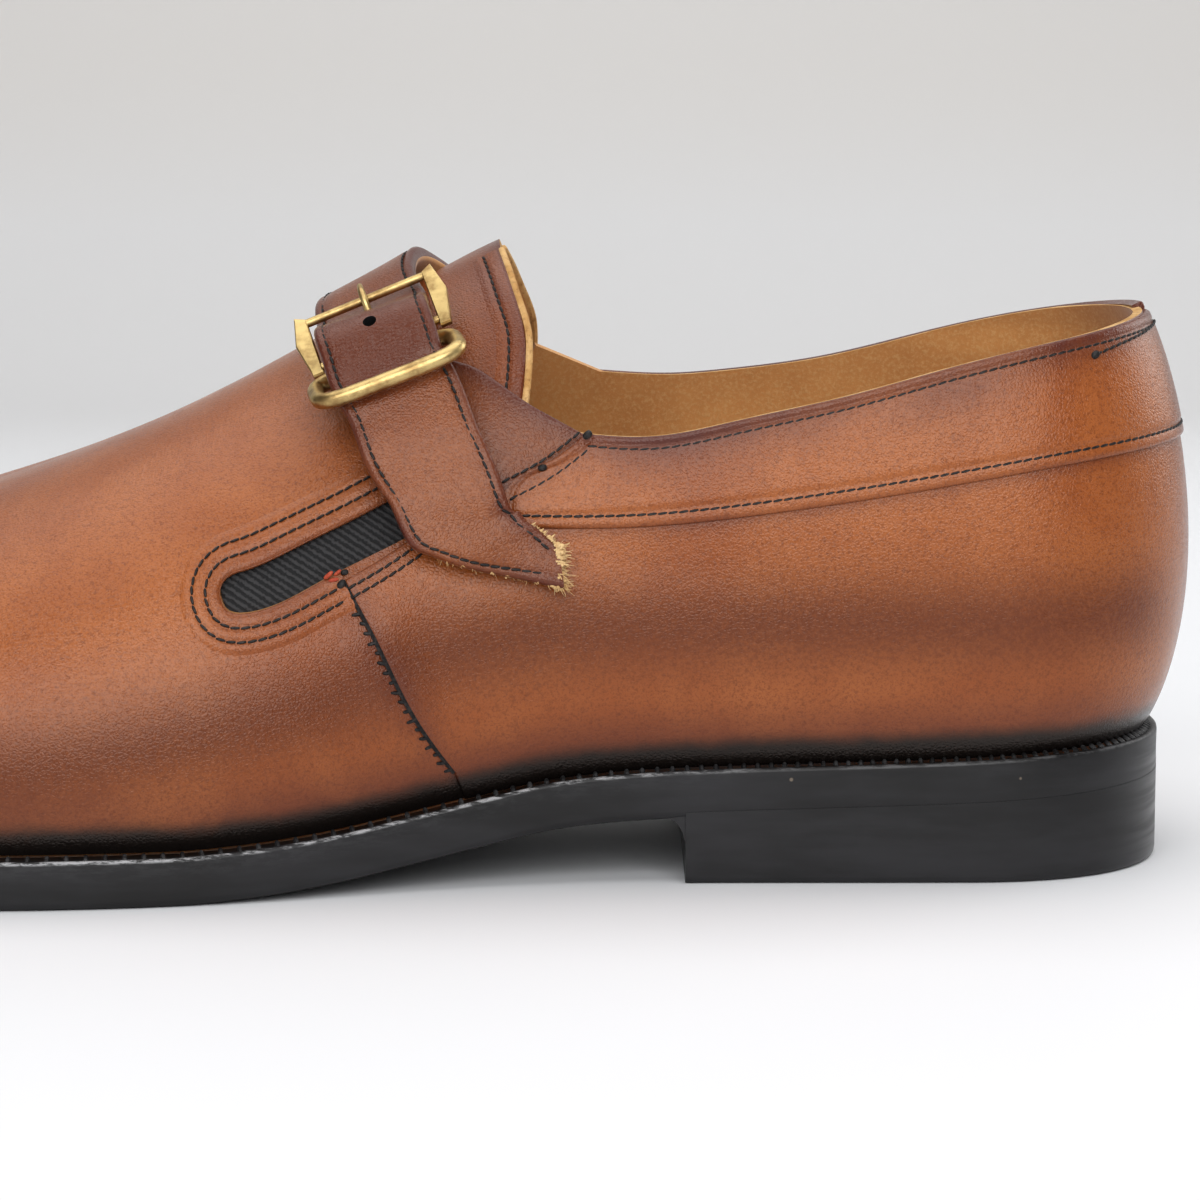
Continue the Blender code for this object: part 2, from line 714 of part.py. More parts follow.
def strap_rows(table):
    """World points, normals and reaches of a strap's table."""
    rows = np.array([row[:2] + row[3:] for row in table], float)
    sides = np.array([row[2] for row in table], float)
    points, normals = lifted(rows[:, 0], rows[:, 1], sides, rows[:, 2])
    return np.column_stack([points, normals, rows[:, 3:6]])


class StrapPath:
    """A smooth path through rows of points, normals and reaches."""

    def __init__(self, rows):
        chords = np.linalg.norm(np.diff(rows[:, :3], axis=0), axis=1)
        self.knots = np.concatenate([[0], np.cumsum(chords)])
        table = [(knot, *row) for knot, row in zip(self.knots, rows)]
        self.smooth = [natural_spline(table, k + 1) for k in range(6)]
        self.steady = [steady_spline(table, k + 1) for k in range(6, 9)]

    def frames(self, places):
        """Centre, along, across, normal and reaches at places along the path."""
        places = np.asarray(places, float)
        centre = np.stack([line(places) for line in self.smooth[:3]], -1)
        normal = np.stack([line(places) for line in self.smooth[3:]], -1)
        step = self.knots[-1] * 1e-3
        low, high = np.maximum(places - step, 0), np.minimum(places + step, self.knots[-1])
        along = np.stack([line(high) - line(low) for line in self.smooth[:3]], -1)
        along = along / np.linalg.norm(along, axis=-1, keepdims=True)
        across = np.cross(along, normal)
        across = across / np.linalg.norm(across, axis=-1, keepdims=True)
        reach = np.stack([line(places) for line in self.steady], -1)
        return centre, along, across, np.cross(across, along), reach


def ribbon_solid(path, samples, width, thickness):
    centre, along, across, normal, reach = path.frames(np.linspace(0, path.knots[-1], samples))
    half = width / 2
    left = centre + across * reach[:, :1] * half + along * reach[:, 2:] * half
    right = centre - across * reach[:, 1:2] * half - along * reach[:, 2:] * half
    rise = normal * thickness
    return loft(np.stack([left, right, right + rise, left + rise], 1))


def buckle_axes(strap_path):
    """The two bars' centres and the buckle's directions: up the strap, across and out."""
    knots = strap_path.knots[[AT_CHAPE_BAR, AT_OUTER_BAR]]
    centre, along, across, normal, _ = strap_path.frames(knots)
    under = BUCKLE_EASE + CHAPE_THICK + GAP + CHAPE_BAR / 2
    chape_bar = centre[0] - normal[0] * under
    outer_bar = centre[1] + normal[1] * (STRAP_THICK + BUCKLE_EASE + OUTER_BAR / 2)
    sideways = across[0] + across[1]
    sideways = sideways / np.linalg.norm(sideways)
    upward = outer_bar - chape_bar
    outer_bar = outer_bar - sideways * (upward @ sideways)
    upward = outer_bar - chape_bar
    spacing = np.linalg.norm(upward)
    upward = upward / spacing
    out = np.cross(sideways, -upward)
    return chape_bar, outer_bar, upward, sideways, out, spacing


def curl_axes(strap_path):
    """Directions at the chape bar: along the chape, and square to it off the last."""
    chape_bar, _, upward, sideways, out, _ = buckle_axes(strap_path)
    _, along, _, normal, _ = strap_path.frames(strap_path.knots[[AT_CHAPE_BAR]])
    onward = -along[0] + sideways * (along[0] @ sideways)
    onward = onward / np.linalg.norm(onward)
    return chape_bar, onward, np.cross(sideways, -onward)


def round_points(centre, first, second, radius, degrees):
    angles = np.radians(degrees)
    return centre + radius * (np.cos(angles)[:, None] * first + np.sin(angles)[:, None] * second)


def build_strap(path, material, collection):
    """The long strap, from the medial quarter over the instep to its pointed tail."""
    vertices, faces = ribbon_solid(path, STRAP_SAMPLES, STRAP_WIDTH, STRAP_THICK)
    return make_object("strap", vertices, faces, material, collection, 50)


def build_chape(strap_path, material, collection, cutters):
    """The short buckle tab, curled round the chape bar and notched for the prong."""
    bar, onward, outward_axis = curl_axes(strap_path)
    reach = CHAPE_BAR / 2 + GAP + CHAPE_THICK
    points = round_points(bar, onward, outward_axis, reach, CHAPE_CURL)
    normals = (bar - points) / reach
    tail = np.column_stack([points, normals, np.tile(CURL_REACH, (len(points), 1))])
    path = StrapPath(np.concatenate([strap_rows(CHAPE), tail]))
    vertices, faces = ribbon_solid(path, CHAPE_SAMPLES + 3 * len(CHAPE_CURL), CHAPE_WIDTH, CHAPE_THICK)
    chape = make_object("buckle_tab", vertices, faces, material, collection, 50)
    size = (PRONG_NOTCH, 4 * reach, 4 * reach)
    boolean(chape, block("prong_notch", bar, np.cross(onward, outward_axis), onward, size, cutters))
    return chape


def placing(centre, first, second):
    """A matrix with the given X and Y directions."""
    third = np.cross(first, second)
    matrix = Matrix((first, second, third)).transposed().to_4x4()
    matrix.translation = Vector(centre)
    return matrix


def block(name, centre, first, second, size, collection):
    form = bmesh.new()
    bmesh.ops.create_cube(form, size=1.0)
    bmesh.ops.scale(form, vec=size, verts=form.verts)
    return from_form(name, form, placing(centre, first, second), None, collection)


def rod(name, start, end, radius, collection, material=None):
    """A round bar between two points."""
    start, end = Vector(start), Vector(end)
    form = bmesh.new()
    bmesh.ops.create_cone(form, cap_ends=True, segments=ROUND_SIDES, radius1=radius,
                          radius2=radius, depth=(end - start).length)
    turn = (end - start).to_track_quat("Z", "Y").to_matrix().to_4x4()
    turn.translation = (start + end) / 2
    return from_form(name, form, turn, material, collection)


def from_form(name, form, matrix, material, collection):
    mesh = bpy.data.meshes.new(name)
    bmesh.ops.transform(form, matrix=matrix, verts=form.verts)
    bmesh.ops.recalc_face_normals(form, faces=form.faces)
    form.to_mesh(mesh)
    form.free()
    mesh.shade_smooth()
    mesh.set_sharp_from_angle(angle=math.radians(35))
    if material:
        mesh.materials.append(material)
    item = bpy.data.objects.new(name, mesh)
    collection.objects.link(item)
    return item


def build_buckle_frame(strap_path, material, collection, cutters):
    """Two flat six-cornered side plates joined by the outer bar and the chape bar."""
    chape_bar, outer_bar, upward, sideways, out, spacing = buckle_axes(strap_path)
    middle = (chape_bar + outer_bar) / 2
    offset = STRAP_WIDTH / 2 + BUCKLE_EASE + SIDE_PLATE_WIDTH / 2
    length = spacing + 2 * SIDE_PLATE_REACH
    plates = []
    for sign in (-1, 1):
        centre = middle + sideways * sign * offset
        ring = [centre + sideways * sign * a * SIDE_PLATE_WIDTH + upward * b * length
                for a, b in PLATE_OUTLINE]
        half = out * SIDE_PLATE_THICK / 2
        vertices, faces = loft(np.array([[point - half for point in ring],
                                         [point + half for point in ring]]))
        target = collection if sign < 0 else cutters
        name = "buckle_frame" if sign < 0 else "right_plate"
        plates.append(make_object(name, vertices, faces, material, target))
    frame = plates[0]
    boolean(frame, plates[1], "UNION")
    for name, centre, size in (("outer_rod", outer_bar, OUTER_BAR), ("chape_rod", chape_bar, CHAPE_BAR)):
        reach = sideways * offset
        boolean(frame, rod(name, centre - reach, centre + reach, size / 2, cutters), "UNION")
    return frame


def wire(name, points, thickness, cyclic, material, collection):
    curve = bpy.data.curves.new(name, "CURVE")
    curve.dimensions = "3D"
    curve.bevel_depth = thickness / 2
    curve.bevel_resolution = 2
    curve.use_fill_caps = not cyclic
    spline = curve.splines.new("POLY")
    spline.points.add(len(points) - 1)
    for place, point in zip(spline.points, points):
        place.co = (*point, 1.0)
    spline.use_cyclic_u = cyclic
    curve.materials.append(material)
    item = bpy.data.objects.new(name, curve)
    collection.objects.link(item)
    return item


def prong_points(strap_path):
    """The prong's centre line: a loop round the chape bar, then over the outer bar."""
    bar, outer_bar, _, sideways, _, spacing = buckle_axes(strap_path)
    _, onward, outward_axis = curl_axes(strap_path)
    radius = (CHAPE_BAR + PRONG_WIRE) / 2 + GAP
    loop = round_points(bar, onward, outward_axis, radius, PRONG_LOOP)
    span = outer_bar - bar
    length, rise = span @ onward, span @ outward_axis
    over = rise + (OUTER_BAR + PRONG_WIRE) / 2 + GAP
    shank = [bar + onward * a * length + outward_axis * (radius + (over - radius) * b)
             for a, b in PRONG_SHANK]
    tip = shank[-1] + onward * PRONG_TIP
    return np.concatenate([loop, shank, [tip]])


def hole_ends(prong):
    """A line along the prong's steep stretch, run out past both faces of the strap."""
    start, end = prong[-5], prong[-3]
    reach = (end - start) / np.linalg.norm(end - start) * STRAP_THICK
    return start - reach, end + reach


def build_ring(strap_path, material, collection):
    """The oval keeper ring, leaning so that its outer rail lies toward the tail."""
    centre, along, across, normal, _ = strap_path.frames(strap_path.knots[[AT_RING]] + RING_SHIFT)
    centre = centre[0] + normal[0] * STRAP_THICK / 2
    lean = along[0] * math.cos(RING_TILT) + normal[0] * math.sin(RING_TILT)
    half_across = STRAP_WIDTH / 2 + GAP + RING_WIRE / 2 + RING_SIDE_ROOM
    points = []
    for number in range(RING_POINTS):
        angle = 2 * math.pi * number / RING_POINTS
        c, s = math.cos(angle), math.sin(angle)
        stretch = (abs(c)**RING_POWER + abs(s)**RING_POWER)**(1 / RING_POWER)
        points.append(centre + across[0] * half_across * c / stretch + lean * RING_RISE / 2 * s / stretch)
    return wire("keeper_ring", points, RING_WIRE, True, material, collection)


def centre_on_base(collection):
    """Parent every piece to an empty that puts the middle of the base at the origin."""
    bpy.context.view_layer.update()
    graph = bpy.context.evaluated_depsgraph_get()
    corners = []
    for item in collection.objects:
        shown = item.evaluated_get(graph)
        corners += [vertex.co[:] for vertex in shown.to_mesh().vertices]
        shown.to_mesh_clear()
    corners = np.array(corners)
    low, high = corners.min(axis=0), corners.max(axis=0)
    stand = bpy.data.objects.new("shoe_stand", None)
    stand.location = (-(low[0] + high[0]) / 2, -(low[1] + high[1]) / 2, -low[2])
    collection.objects.link(stand)
    return stand


def main():
    for item in list(bpy.data.objects):
        bpy.data.objects.remove(item, do_unlink=True)
    shoe = bpy.data.collections.new("monk_strap_loafer")
    cutters = bpy.data.collections.new("cutters")
    for collection in (shoe, cutters):
        bpy.context.scene.collection.children.link(collection)
    leather = make_material("tan_leather", (0.42, 0.18, 0.075), 0.42)
    sole = make_material("black_sole", (0.018, 0.018, 0.02), 0.45)
    lining = make_material("tan_lining", (0.50, 0.30, 0.15), 0.85)
    elastic = make_material("black_elastic", (0.012, 0.012, 0.013), 0.8)
    brass = make_material("brass", (0.75, 0.55, 0.25), 0.3, 1.0)
    build_outsole(sole, shoe)
    build_heel(sole, shoe)
    build_welt(sole, shoe)
    build_insole(lining, shoe)
    build_upper(leather, shoe, cutters)
    build_gore("lateral", LATERAL, elastic, shoe)
    build_gore("medial", MEDIAL, elastic, shoe)
    strap_path = StrapPath(strap_rows(STRAP))
    strap = build_strap(strap_path, leather, shoe)
    build_chape(strap_path, leather, shoe, cutters)
    build_buckle_frame(strap_path, brass, shoe, cutters)
    prong = prong_points(strap_path)
    wire("buckle_prong", prong, PRONG_WIRE, False, brass, shoe)
    hole = rod("prong_hole", *hole_ends(prong), PRONG_HOLE / 2, cutters)
    boolean(strap, hole)
    build_ring(strap_path, brass, shoe)
    stand = centre_on_base(shoe)
    for item in list(shoe.objects) + list(cutters.objects):
        if item != stand:
            item.parent = stand


main()
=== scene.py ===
"""The looks of the monk strap loafer: leather panels, stitches, elastic, brass, sole and floor.

The toe points to -X, the heel to +X and the outer (lateral) side to -Y. The panels are laid
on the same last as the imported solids, whose sizes and tables are repeated here.
"""
import math

import bmesh
import bpy
import numpy as np
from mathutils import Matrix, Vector


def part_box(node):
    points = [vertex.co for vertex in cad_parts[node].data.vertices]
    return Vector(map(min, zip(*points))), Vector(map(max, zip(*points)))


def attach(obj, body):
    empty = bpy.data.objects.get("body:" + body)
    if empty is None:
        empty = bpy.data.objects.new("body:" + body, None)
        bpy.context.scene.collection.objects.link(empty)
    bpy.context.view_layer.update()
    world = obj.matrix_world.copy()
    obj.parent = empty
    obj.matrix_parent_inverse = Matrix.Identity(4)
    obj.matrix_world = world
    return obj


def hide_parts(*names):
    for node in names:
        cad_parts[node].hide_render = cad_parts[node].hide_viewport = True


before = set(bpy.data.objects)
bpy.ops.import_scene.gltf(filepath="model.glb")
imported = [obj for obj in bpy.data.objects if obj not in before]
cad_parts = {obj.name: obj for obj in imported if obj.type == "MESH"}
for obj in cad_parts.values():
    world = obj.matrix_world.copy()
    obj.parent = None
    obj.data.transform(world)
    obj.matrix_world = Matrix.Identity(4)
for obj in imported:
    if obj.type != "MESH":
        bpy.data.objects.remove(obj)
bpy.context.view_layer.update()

# Driving dimensions, in metres
SOLE_LENGTH = 0.300
BALL_WIDTH = 0.106
INSTEP_HEIGHT = 0.100
HEEL_HEIGHT = 0.0105
HEEL_LENGTH = 0.079
TOE_SPRING = 0.0095
OUTSOLE_THICK = 0.0046
WELT_THICK = 0.0028
WELT_REACH = 0.0038
INSOLE_THICK = 0.0042
GAP = 0.0003
SLOT_WIDTH = 0.0064
GORE_OVERLAP = 0.0034
GORE_THICK = 0.0010
STRAP_WIDTH = 0.0188
STRAP_THICK = 0.0028
CHAPE_WIDTH = 0.0150
CHAPE_THICK = 0.0014
OUTER_BAR = 0.0014
CHAPE_BAR = 0.0014
SIDE_PLATE_WIDTH = 0.0030
SIDE_PLATE_THICK = 0.0016
SIDE_PLATE_REACH = 0.0016
PRONG_WIRE = 0.0012
PRONG_TIP = 0.0024
RING_WIRE = 0.0026
RING_RISE = 0.0110
RING_TILT = math.radians(44)

# Steps for slopes along the sole's edge and over the last, in columns and turns
COLUMN_STEP = 1e-4
NORMAL_STEP = 1e-3
SEARCH_STEP = 1e-4
SEARCH_REACH = 0.04

LATERAL, MEDIAL = -1, 1
SIDE_NAMES = {LATERAL: "lateral", MEDIAL: "medial"}

# The sole's plan: swing and half width are shares of BALL_WIDTH, the ledge is the
# visible top of the welt, in shares of WELT_REACH
SOLE_PLAN = (
    # station, swing, half_width, ledge
    (0.00, 0.000, 0.318, 0.80),
    (0.12, 0.000, 0.320, 0.80),
    (0.20, -0.005, 0.316, 0.80),
    (0.27, -0.016, 0.308, 0.84),
    (0.34, -0.038, 0.306, 0.92),
    (0.405, -0.062, 0.324, 1.00),
    (0.47, -0.080, 0.366, 1.05),
    (0.54, -0.076, 0.420, 1.08),
    (0.61, -0.053, 0.466, 1.10),
    (0.675, -0.028, 0.492, 1.10),
    (0.74, -0.008, 0.499, 1.10),
    (0.82, 0.006, 0.478, 1.10),
    (0.91, 0.014, 0.425, 1.10),
    (1.00, 0.018, 0.360, 1.10),
)
# The underside: heel rise in shares of HEEL_HEIGHT, toe rise in shares of TOE_SPRING
UNDERSIDE = (
    # station, heel_rise, toe_rise
    (0.00, 1.30, 0.00),
    (0.13, 1.12, 0.00),
    (0.263, 1.00, 0.00),
    (0.298, 0.95, 0.00),
    (0.333, 0.85, 0.00),
    (0.363, 0.68, 0.00),
    (0.403, 0.44, 0.00),
    (0.45, 0.19, 0.00),
    (0.49, 0.06, 0.00),
    (0.53, 0.00, 0.00),
    (0.62, 0.00, 0.00),
    (0.68, 0.00, 0.05),
    (0.76, 0.00, 0.19),
    (0.84, 0.00, 0.42),
    (0.92, 0.00, 0.70),
    (1.00, 0.00, 1.00),
)
# The top line of the closed last: height in shares of INSTEP_HEIGHT, offset toward
# the medial side in shares of BALL_WIDTH
RIDGE = (
    # station, height, offset
    (0.110, 1.040, 0.000),
    (0.160, 1.080, 0.000),
    (0.235, 1.100, 0.010),
    (0.307, 1.065, 0.020),
    (0.367, 1.005, 0.028),
    (0.420, 0.920, 0.030),
    (0.473, 0.833, 0.030),
    (0.517, 0.762, 0.030),
    (0.553, 0.711, 0.030),
    (0.597, 0.658, 0.030),
    (0.640, 0.614, 0.030),
    (0.683, 0.572, 0.030),
    (0.750, 0.508, 0.028),
    (0.800, 0.464, 0.025),
    (0.842, 0.434, 0.022),
    (0.880, 0.422, 0.020),
)
# The sections of the last: squareness of the superellipse and the side's bulge in
# shares of BALL_WIDTH
SECTION = (
    # station, squareness, lateral_bulge, medial_bulge
    (0.00, 4.5, 0.070, 0.070),
    (0.04, 3.9, 0.060, 0.060),
    (0.12, 3.0, 0.044, 0.044),
    (0.26, 2.5, 0.048, 0.062),
    (0.40, 2.1, 0.048, 0.076),
    (0.50, 2.0, 0.040, 0.062),
    (0.65, 2.1, 0.029, 0.029),
    (0.85, 2.2, 0.024, 0.024),
    (1.00, 2.3, 0.029, 0.029),
)
TOE_ROUND, TOE_POWER = 0.20, 2.15
HEEL_ROUND, HEEL_POWER = 0.115, 2.25
BULGE_POWER = 0.70

# The folded edge of the collar band on the side view, carried on to the toe: heights
# in shares of INSTEP_HEIGHT
BAND_LINE = (
    # station, height
    (-0.02, 0.700),
    (0.067, 0.665),
    (0.130, 0.632),
    (0.217, 0.592),
    (0.287, 0.570),
    (0.340, 0.568),
    (0.420, 0.570),
    (0.500, 0.540),
    (0.600, 0.450),
    (0.750, 0.340),
    (0.880, 0.270),
    (1.00, 0.210),
)


def natural_spline(table, column):
    """A smooth curve through one column of a table, against its first column."""
    knots = np.array([row[0] for row in table], float)
    values = np.array([row[column] for row in table], float)
    widths = np.diff(knots)
    slopes = np.diff(values) / widths
    system = np.eye(len(knots))
    right = np.zeros(len(knots))
    for i in range(1, len(knots) - 1):
        system[i, i - 1:i + 2] = widths[i - 1], 2 * (widths[i - 1] + widths[i]), widths[i]
        right[i] = 6 * (slopes[i] - slopes[i - 1])
    bends = np.linalg.solve(system, right)

    def at(place):
        place = np.clip(np.asarray(place, float), knots[0], knots[-1])
        k = np.clip(np.searchsorted(knots, place) - 1, 0, len(knots) - 2)
        after, before, width = place - knots[k], knots[k + 1] - place, widths[k]
        bent = (bends[k] * before**3 + bends[k + 1] * after**3) / (6 * width)
        left = (values[k] / width - bends[k] * width / 6) * before
        return bent + left + (values[k + 1] / width - bends[k + 1] * width / 6) * after

    return at


def steady_spline(table, column):
    """A curve through one column that never swings past its values."""
    knots = np.array([row[0] for row in table], float)
    values = np.array([row[column] for row in table], float)
    slopes = np.diff(values) / np.diff(knots)
    tangents = np.zeros(len(knots))
    tangents[0], tangents[-1] = slopes[0], slopes[-1]
    for i in range(1, len(knots) - 1):
        if slopes[i - 1] * slopes[i] > 0:
            tangents[i] = 2 * slopes[i - 1] * slopes[i] / (slopes[i - 1] + slopes[i])

    def at(place):
        place = np.asarray(place, float)
        k = np.clip(np.searchsorted(knots, place) - 1, 0, len(knots) - 2)
        width = knots[k + 1] - knots[k]
        t = np.clip((place - knots[k]) / width, 0, 1)
        start = values[k] * (1 + 2 * t) * (1 - t)**2 + width * tangents[k] * t * (1 - t)**2
        return start + values[k + 1] * t * t * (3 - 2 * t) - width * tangents[k + 1] * t * t * (1 - t)

    return at


swing = natural_spline(SOLE_PLAN, 1)
half_width = natural_spline(SOLE_PLAN, 2)
ledge_share = steady_spline(SOLE_PLAN, 3)
heel_rise = steady_spline(UNDERSIDE, 1)
toe_rise = steady_spline(UNDERSIDE, 2)
ridge_height = natural_spline(RIDGE, 1)
ridge_offset = steady_spline(RIDGE, 2)
squareness = steady_spline(SECTION, 1)
lateral_bulge = steady_spline(SECTION, 2)
medial_bulge = steady_spline(SECTION, 3)
band_height = natural_spline(BAND_LINE, 1)


def station_of(column):
    """Share of the sole's length, from the heel, of a column: 0 at the toe, 1 at the heel."""
    return (1 + np.cos(math.pi * np.asarray(column, float))) / 2


def end_rounding(station):
    """Share of the half width that the round toe and heel leave."""
    toe = np.clip((station - (1 - TOE_ROUND)) / TOE_ROUND, 0, 1)
    heel = np.clip((HEEL_ROUND - station) / HEEL_ROUND, 0, 1)
    return (1 - toe**TOE_POWER)**(1 / TOE_POWER) * (1 - heel**HEEL_POWER)**(1 / HEEL_POWER)


def sole_edge(column, side):
    """Plan of the sole's edge, as distance from the heel's end and Y."""
    station = station_of(column)
    y = BALL_WIDTH * (swing(station) + side * half_width(station) * end_rounding(station))
    return np.stack([station * SOLE_LENGTH, y], -1)


def outward(column, side):
    """Unit vector out of the sole's edge, in plan."""
    column = np.asarray(column, float)
    side = np.broadcast_to(np.asarray(side, float), column.shape)
    before = sole_edge(np.abs(column - COLUMN_STEP), np.where(column < COLUMN_STEP, -side, side))
    past = column + COLUMN_STEP > 1
    after = np.where(past, 2 - column - COLUMN_STEP, column + COLUMN_STEP)
    along = sole_edge(after, np.where(past, -side, side)) - before
    normal = np.stack([along[..., 1], -along[..., 0]], -1) * side[..., None]
    return normal / np.linalg.norm(normal, axis=-1, keepdims=True)


def inset_edge(column, side, inset):
    """Plan of the sole's edge moved inward."""
    return sole_edge(column, side) - outward(column, side) * np.asarray(inset)[..., None]


def underside(from_heel):
    """Height of the sole's underside."""
    station = np.asarray(from_heel) / SOLE_LENGTH
    return HEEL_HEIGHT * heel_rise(station) + TOE_SPRING * toe_rise(station)


FEATHER_RISE = OUTSOLE_THICK + WELT_THICK + 2 * GAP


def ridge_point(column):
    """The top line of the closed last."""
    first, last = RIDGE[0][0], RIDGE[-1][0]
    station = first + (last - first) * station_of(column)
    height = INSTEP_HEIGHT * ridge_height(station)
    return np.stack([station * SOLE_LENGTH, BALL_WIDTH * ridge_offset(station), height], -1)


def last_point(column, turn, side):
    """A point on the last: turn is 0 at the sole and 1 at the ridge.

    The point is distance from the heel's end, Y and Z.
    """
    column, turn, side = np.broadcast_arrays(
        np.asarray(column, float), np.asarray(turn, float), np.asarray(side, float))
    station = station_of(column)
    foot = inset_edge(column, side, ledge_share(station) * WELT_REACH)
    top = ridge_point(column)
    power = squareness(station)
    across, up = np.cos(turn * math.pi / 2), np.sin(turn * math.pi / 2)
    stretch = (np.abs(across)**power + np.abs(up)**power)**(1 / power)
    across, up = across / stretch, up / stretch
    bulge = BALL_WIDTH * np.where(side < 0, lateral_bulge(station), medial_bulge(station))
    bulge = bulge * np.sin(math.pi * np.clip(up, 0, 1)**BULGE_POWER)
    plan = top[..., :2] + (foot - top[..., :2]) * across[..., None]
    plan = plan + outward(column, side) * bulge[..., None]
    base = underside(foot[..., 0]) + FEATHER_RISE
    return np.concatenate([plan, (base + (top[..., 2] - base) * up)[..., None]], -1)


def turn_at_height(column, side, height_line):
    """The turn at which a column meets a line drawn on the side view."""
    low = np.zeros(np.shape(column))
    high = np.ones(np.shape(column))
    for _ in range(30):
        middle = (low + high) / 2
        point = last_point(column, middle, side)
        under = point[..., 2] < INSTEP_HEIGHT * height_line(point[..., 0] / SOLE_LENGTH)
        low = np.where(under, middle, low)
        high = np.where(under, high, middle)
    return (low + high) / 2


def start_table(side):
    """Columns, turns and side-view places from which a search may start."""
    column, turn = np.meshgrid(np.linspace(0.01, 0.995, 160), np.linspace(0.01, 0.99, 60))
    point = last_point(column, turn, side)
    return column.ravel(), turn.ravel(), point[..., [0, 2]].reshape(-1, 2)


START_TABLES = {side: start_table(side) for side in (LATERAL, MEDIAL)}


def place_on_last(station, height, side):
    """Column and turn of points given by station and height on the side view, by Newton steps."""
    station, height = np.broadcast_arrays(np.asarray(station, float), np.asarray(height, float))
    target = np.stack([station * SOLE_LENGTH, height * INSTEP_HEIGHT], -1).reshape(-1, 2)
    columns, turns, places = START_TABLES[side]
    nearest = np.array([np.argmin(((places - goal) ** 2).sum(-1)) for goal in target])
    column, turn = columns[nearest], turns[nearest]
    step = SEARCH_STEP
    for _ in range(7):
        here = last_point(column, turn, side)[:, [0, 2]]
        by_column = (last_point(np.minimum(column + step, 1), turn, side)[:, [0, 2]] - here) / step
        by_turn = (last_point(column, turn + step, side)[:, [0, 2]] - here) / step
        miss = target - here
        area = by_column[:, 0] * by_turn[:, 1] - by_column[:, 1] * by_turn[:, 0]
        area = np.where(np.abs(area) < 1e-9, 1e-9, area)
        column_move = (miss[:, 0] * by_turn[:, 1] - miss[:, 1] * by_turn[:, 0]) / area
        turn_move = (by_column[:, 0] * miss[:, 1] - by_column[:, 1] * miss[:, 0]) / area
        column = column + np.clip(column_move, -SEARCH_REACH, SEARCH_REACH)
        turn = turn + np.clip(turn_move, -SEARCH_REACH, SEARCH_REACH)
        column, turn = np.clip(column, 0, 1), np.clip(turn, 0, 1)
    return column.reshape(station.shape), turn.reshape(station.shape)


def wrapped_point(column, turn, side):
    """A point on the last where a step may cross the ridge, the toe or the heel's back."""
    crossed = (column < 0) | (column > 1)
    side = np.where(crossed, -side, side)
    column = np.where(column < 0, -column, np.where(column > 1, 2 - column, column))
    side = np.where(turn > 1, -side, side)
    turn = np.where(turn > 1, 2 - turn, turn)
    return last_point(column, turn, side)


def last_normal(column, turn, side):
    """Unit vector out of the last, in the frame of distance from the heel's end, Y and Z."""
    column, turn, side = np.broadcast_arrays(
        np.asarray(column, float), np.asarray(turn, float), np.asarray(side, float))
    step = NORMAL_STEP
    corner = (turn > 1 - 1e-6) & ((column < 1e-6) | (column > 1 - 1e-6))
    turn = np.where(corner, 1 - step, turn)
    along = wrapped_point(column + step, turn, side) - wrapped_point(column - step, turn, side)
    below = wrapped_point(column, np.maximum(turn - step, 0), side)
    upward = wrapped_point(column, turn + step, side) - below
    normal = np.cross(upward, along) * -side[..., None]
    return normal / np.linalg.norm(normal, axis=-1, keepdims=True)


# The topline, seen from the side, with the back of the tab
COLLAR = (
    # lateral_station, lateral_height, medial_station, medial_height
    (-0.100, 0.960, -0.100, 0.960),
    (-0.030, 0.921, -0.030, 0.926),
    (0.020, 0.887, 0.016, 0.903),
    (0.083, 0.848, 0.083, 0.866),
    (0.131, 0.812, 0.131, 0.832),
    (0.180, 0.772, 0.180, 0.797),
    (0.237, 0.734, 0.237, 0.774),
    (0.275, 0.711, 0.273, 0.768),
    (0.313, 0.712, 0.313, 0.776),
    (0.338, 0.728, 0.338, 0.788),
    (0.350, 0.755, 0.350, 0.810),
    (0.3485, 0.820, 0.3485, 0.855),
    (0.350, 0.880, 0.350, 0.895),
    (0.360, 0.970, 0.360, 0.970),
    (0.366, 1.030, 0.366, 1.030),
    (0.372, 1.180, 0.372, 1.180),
)
# Shares of BALL_WIDTH at which the collar's cutter has a section
COLLAR_BLEND = (-0.70, -0.22, -0.08, 0.08, 0.22, 0.70)
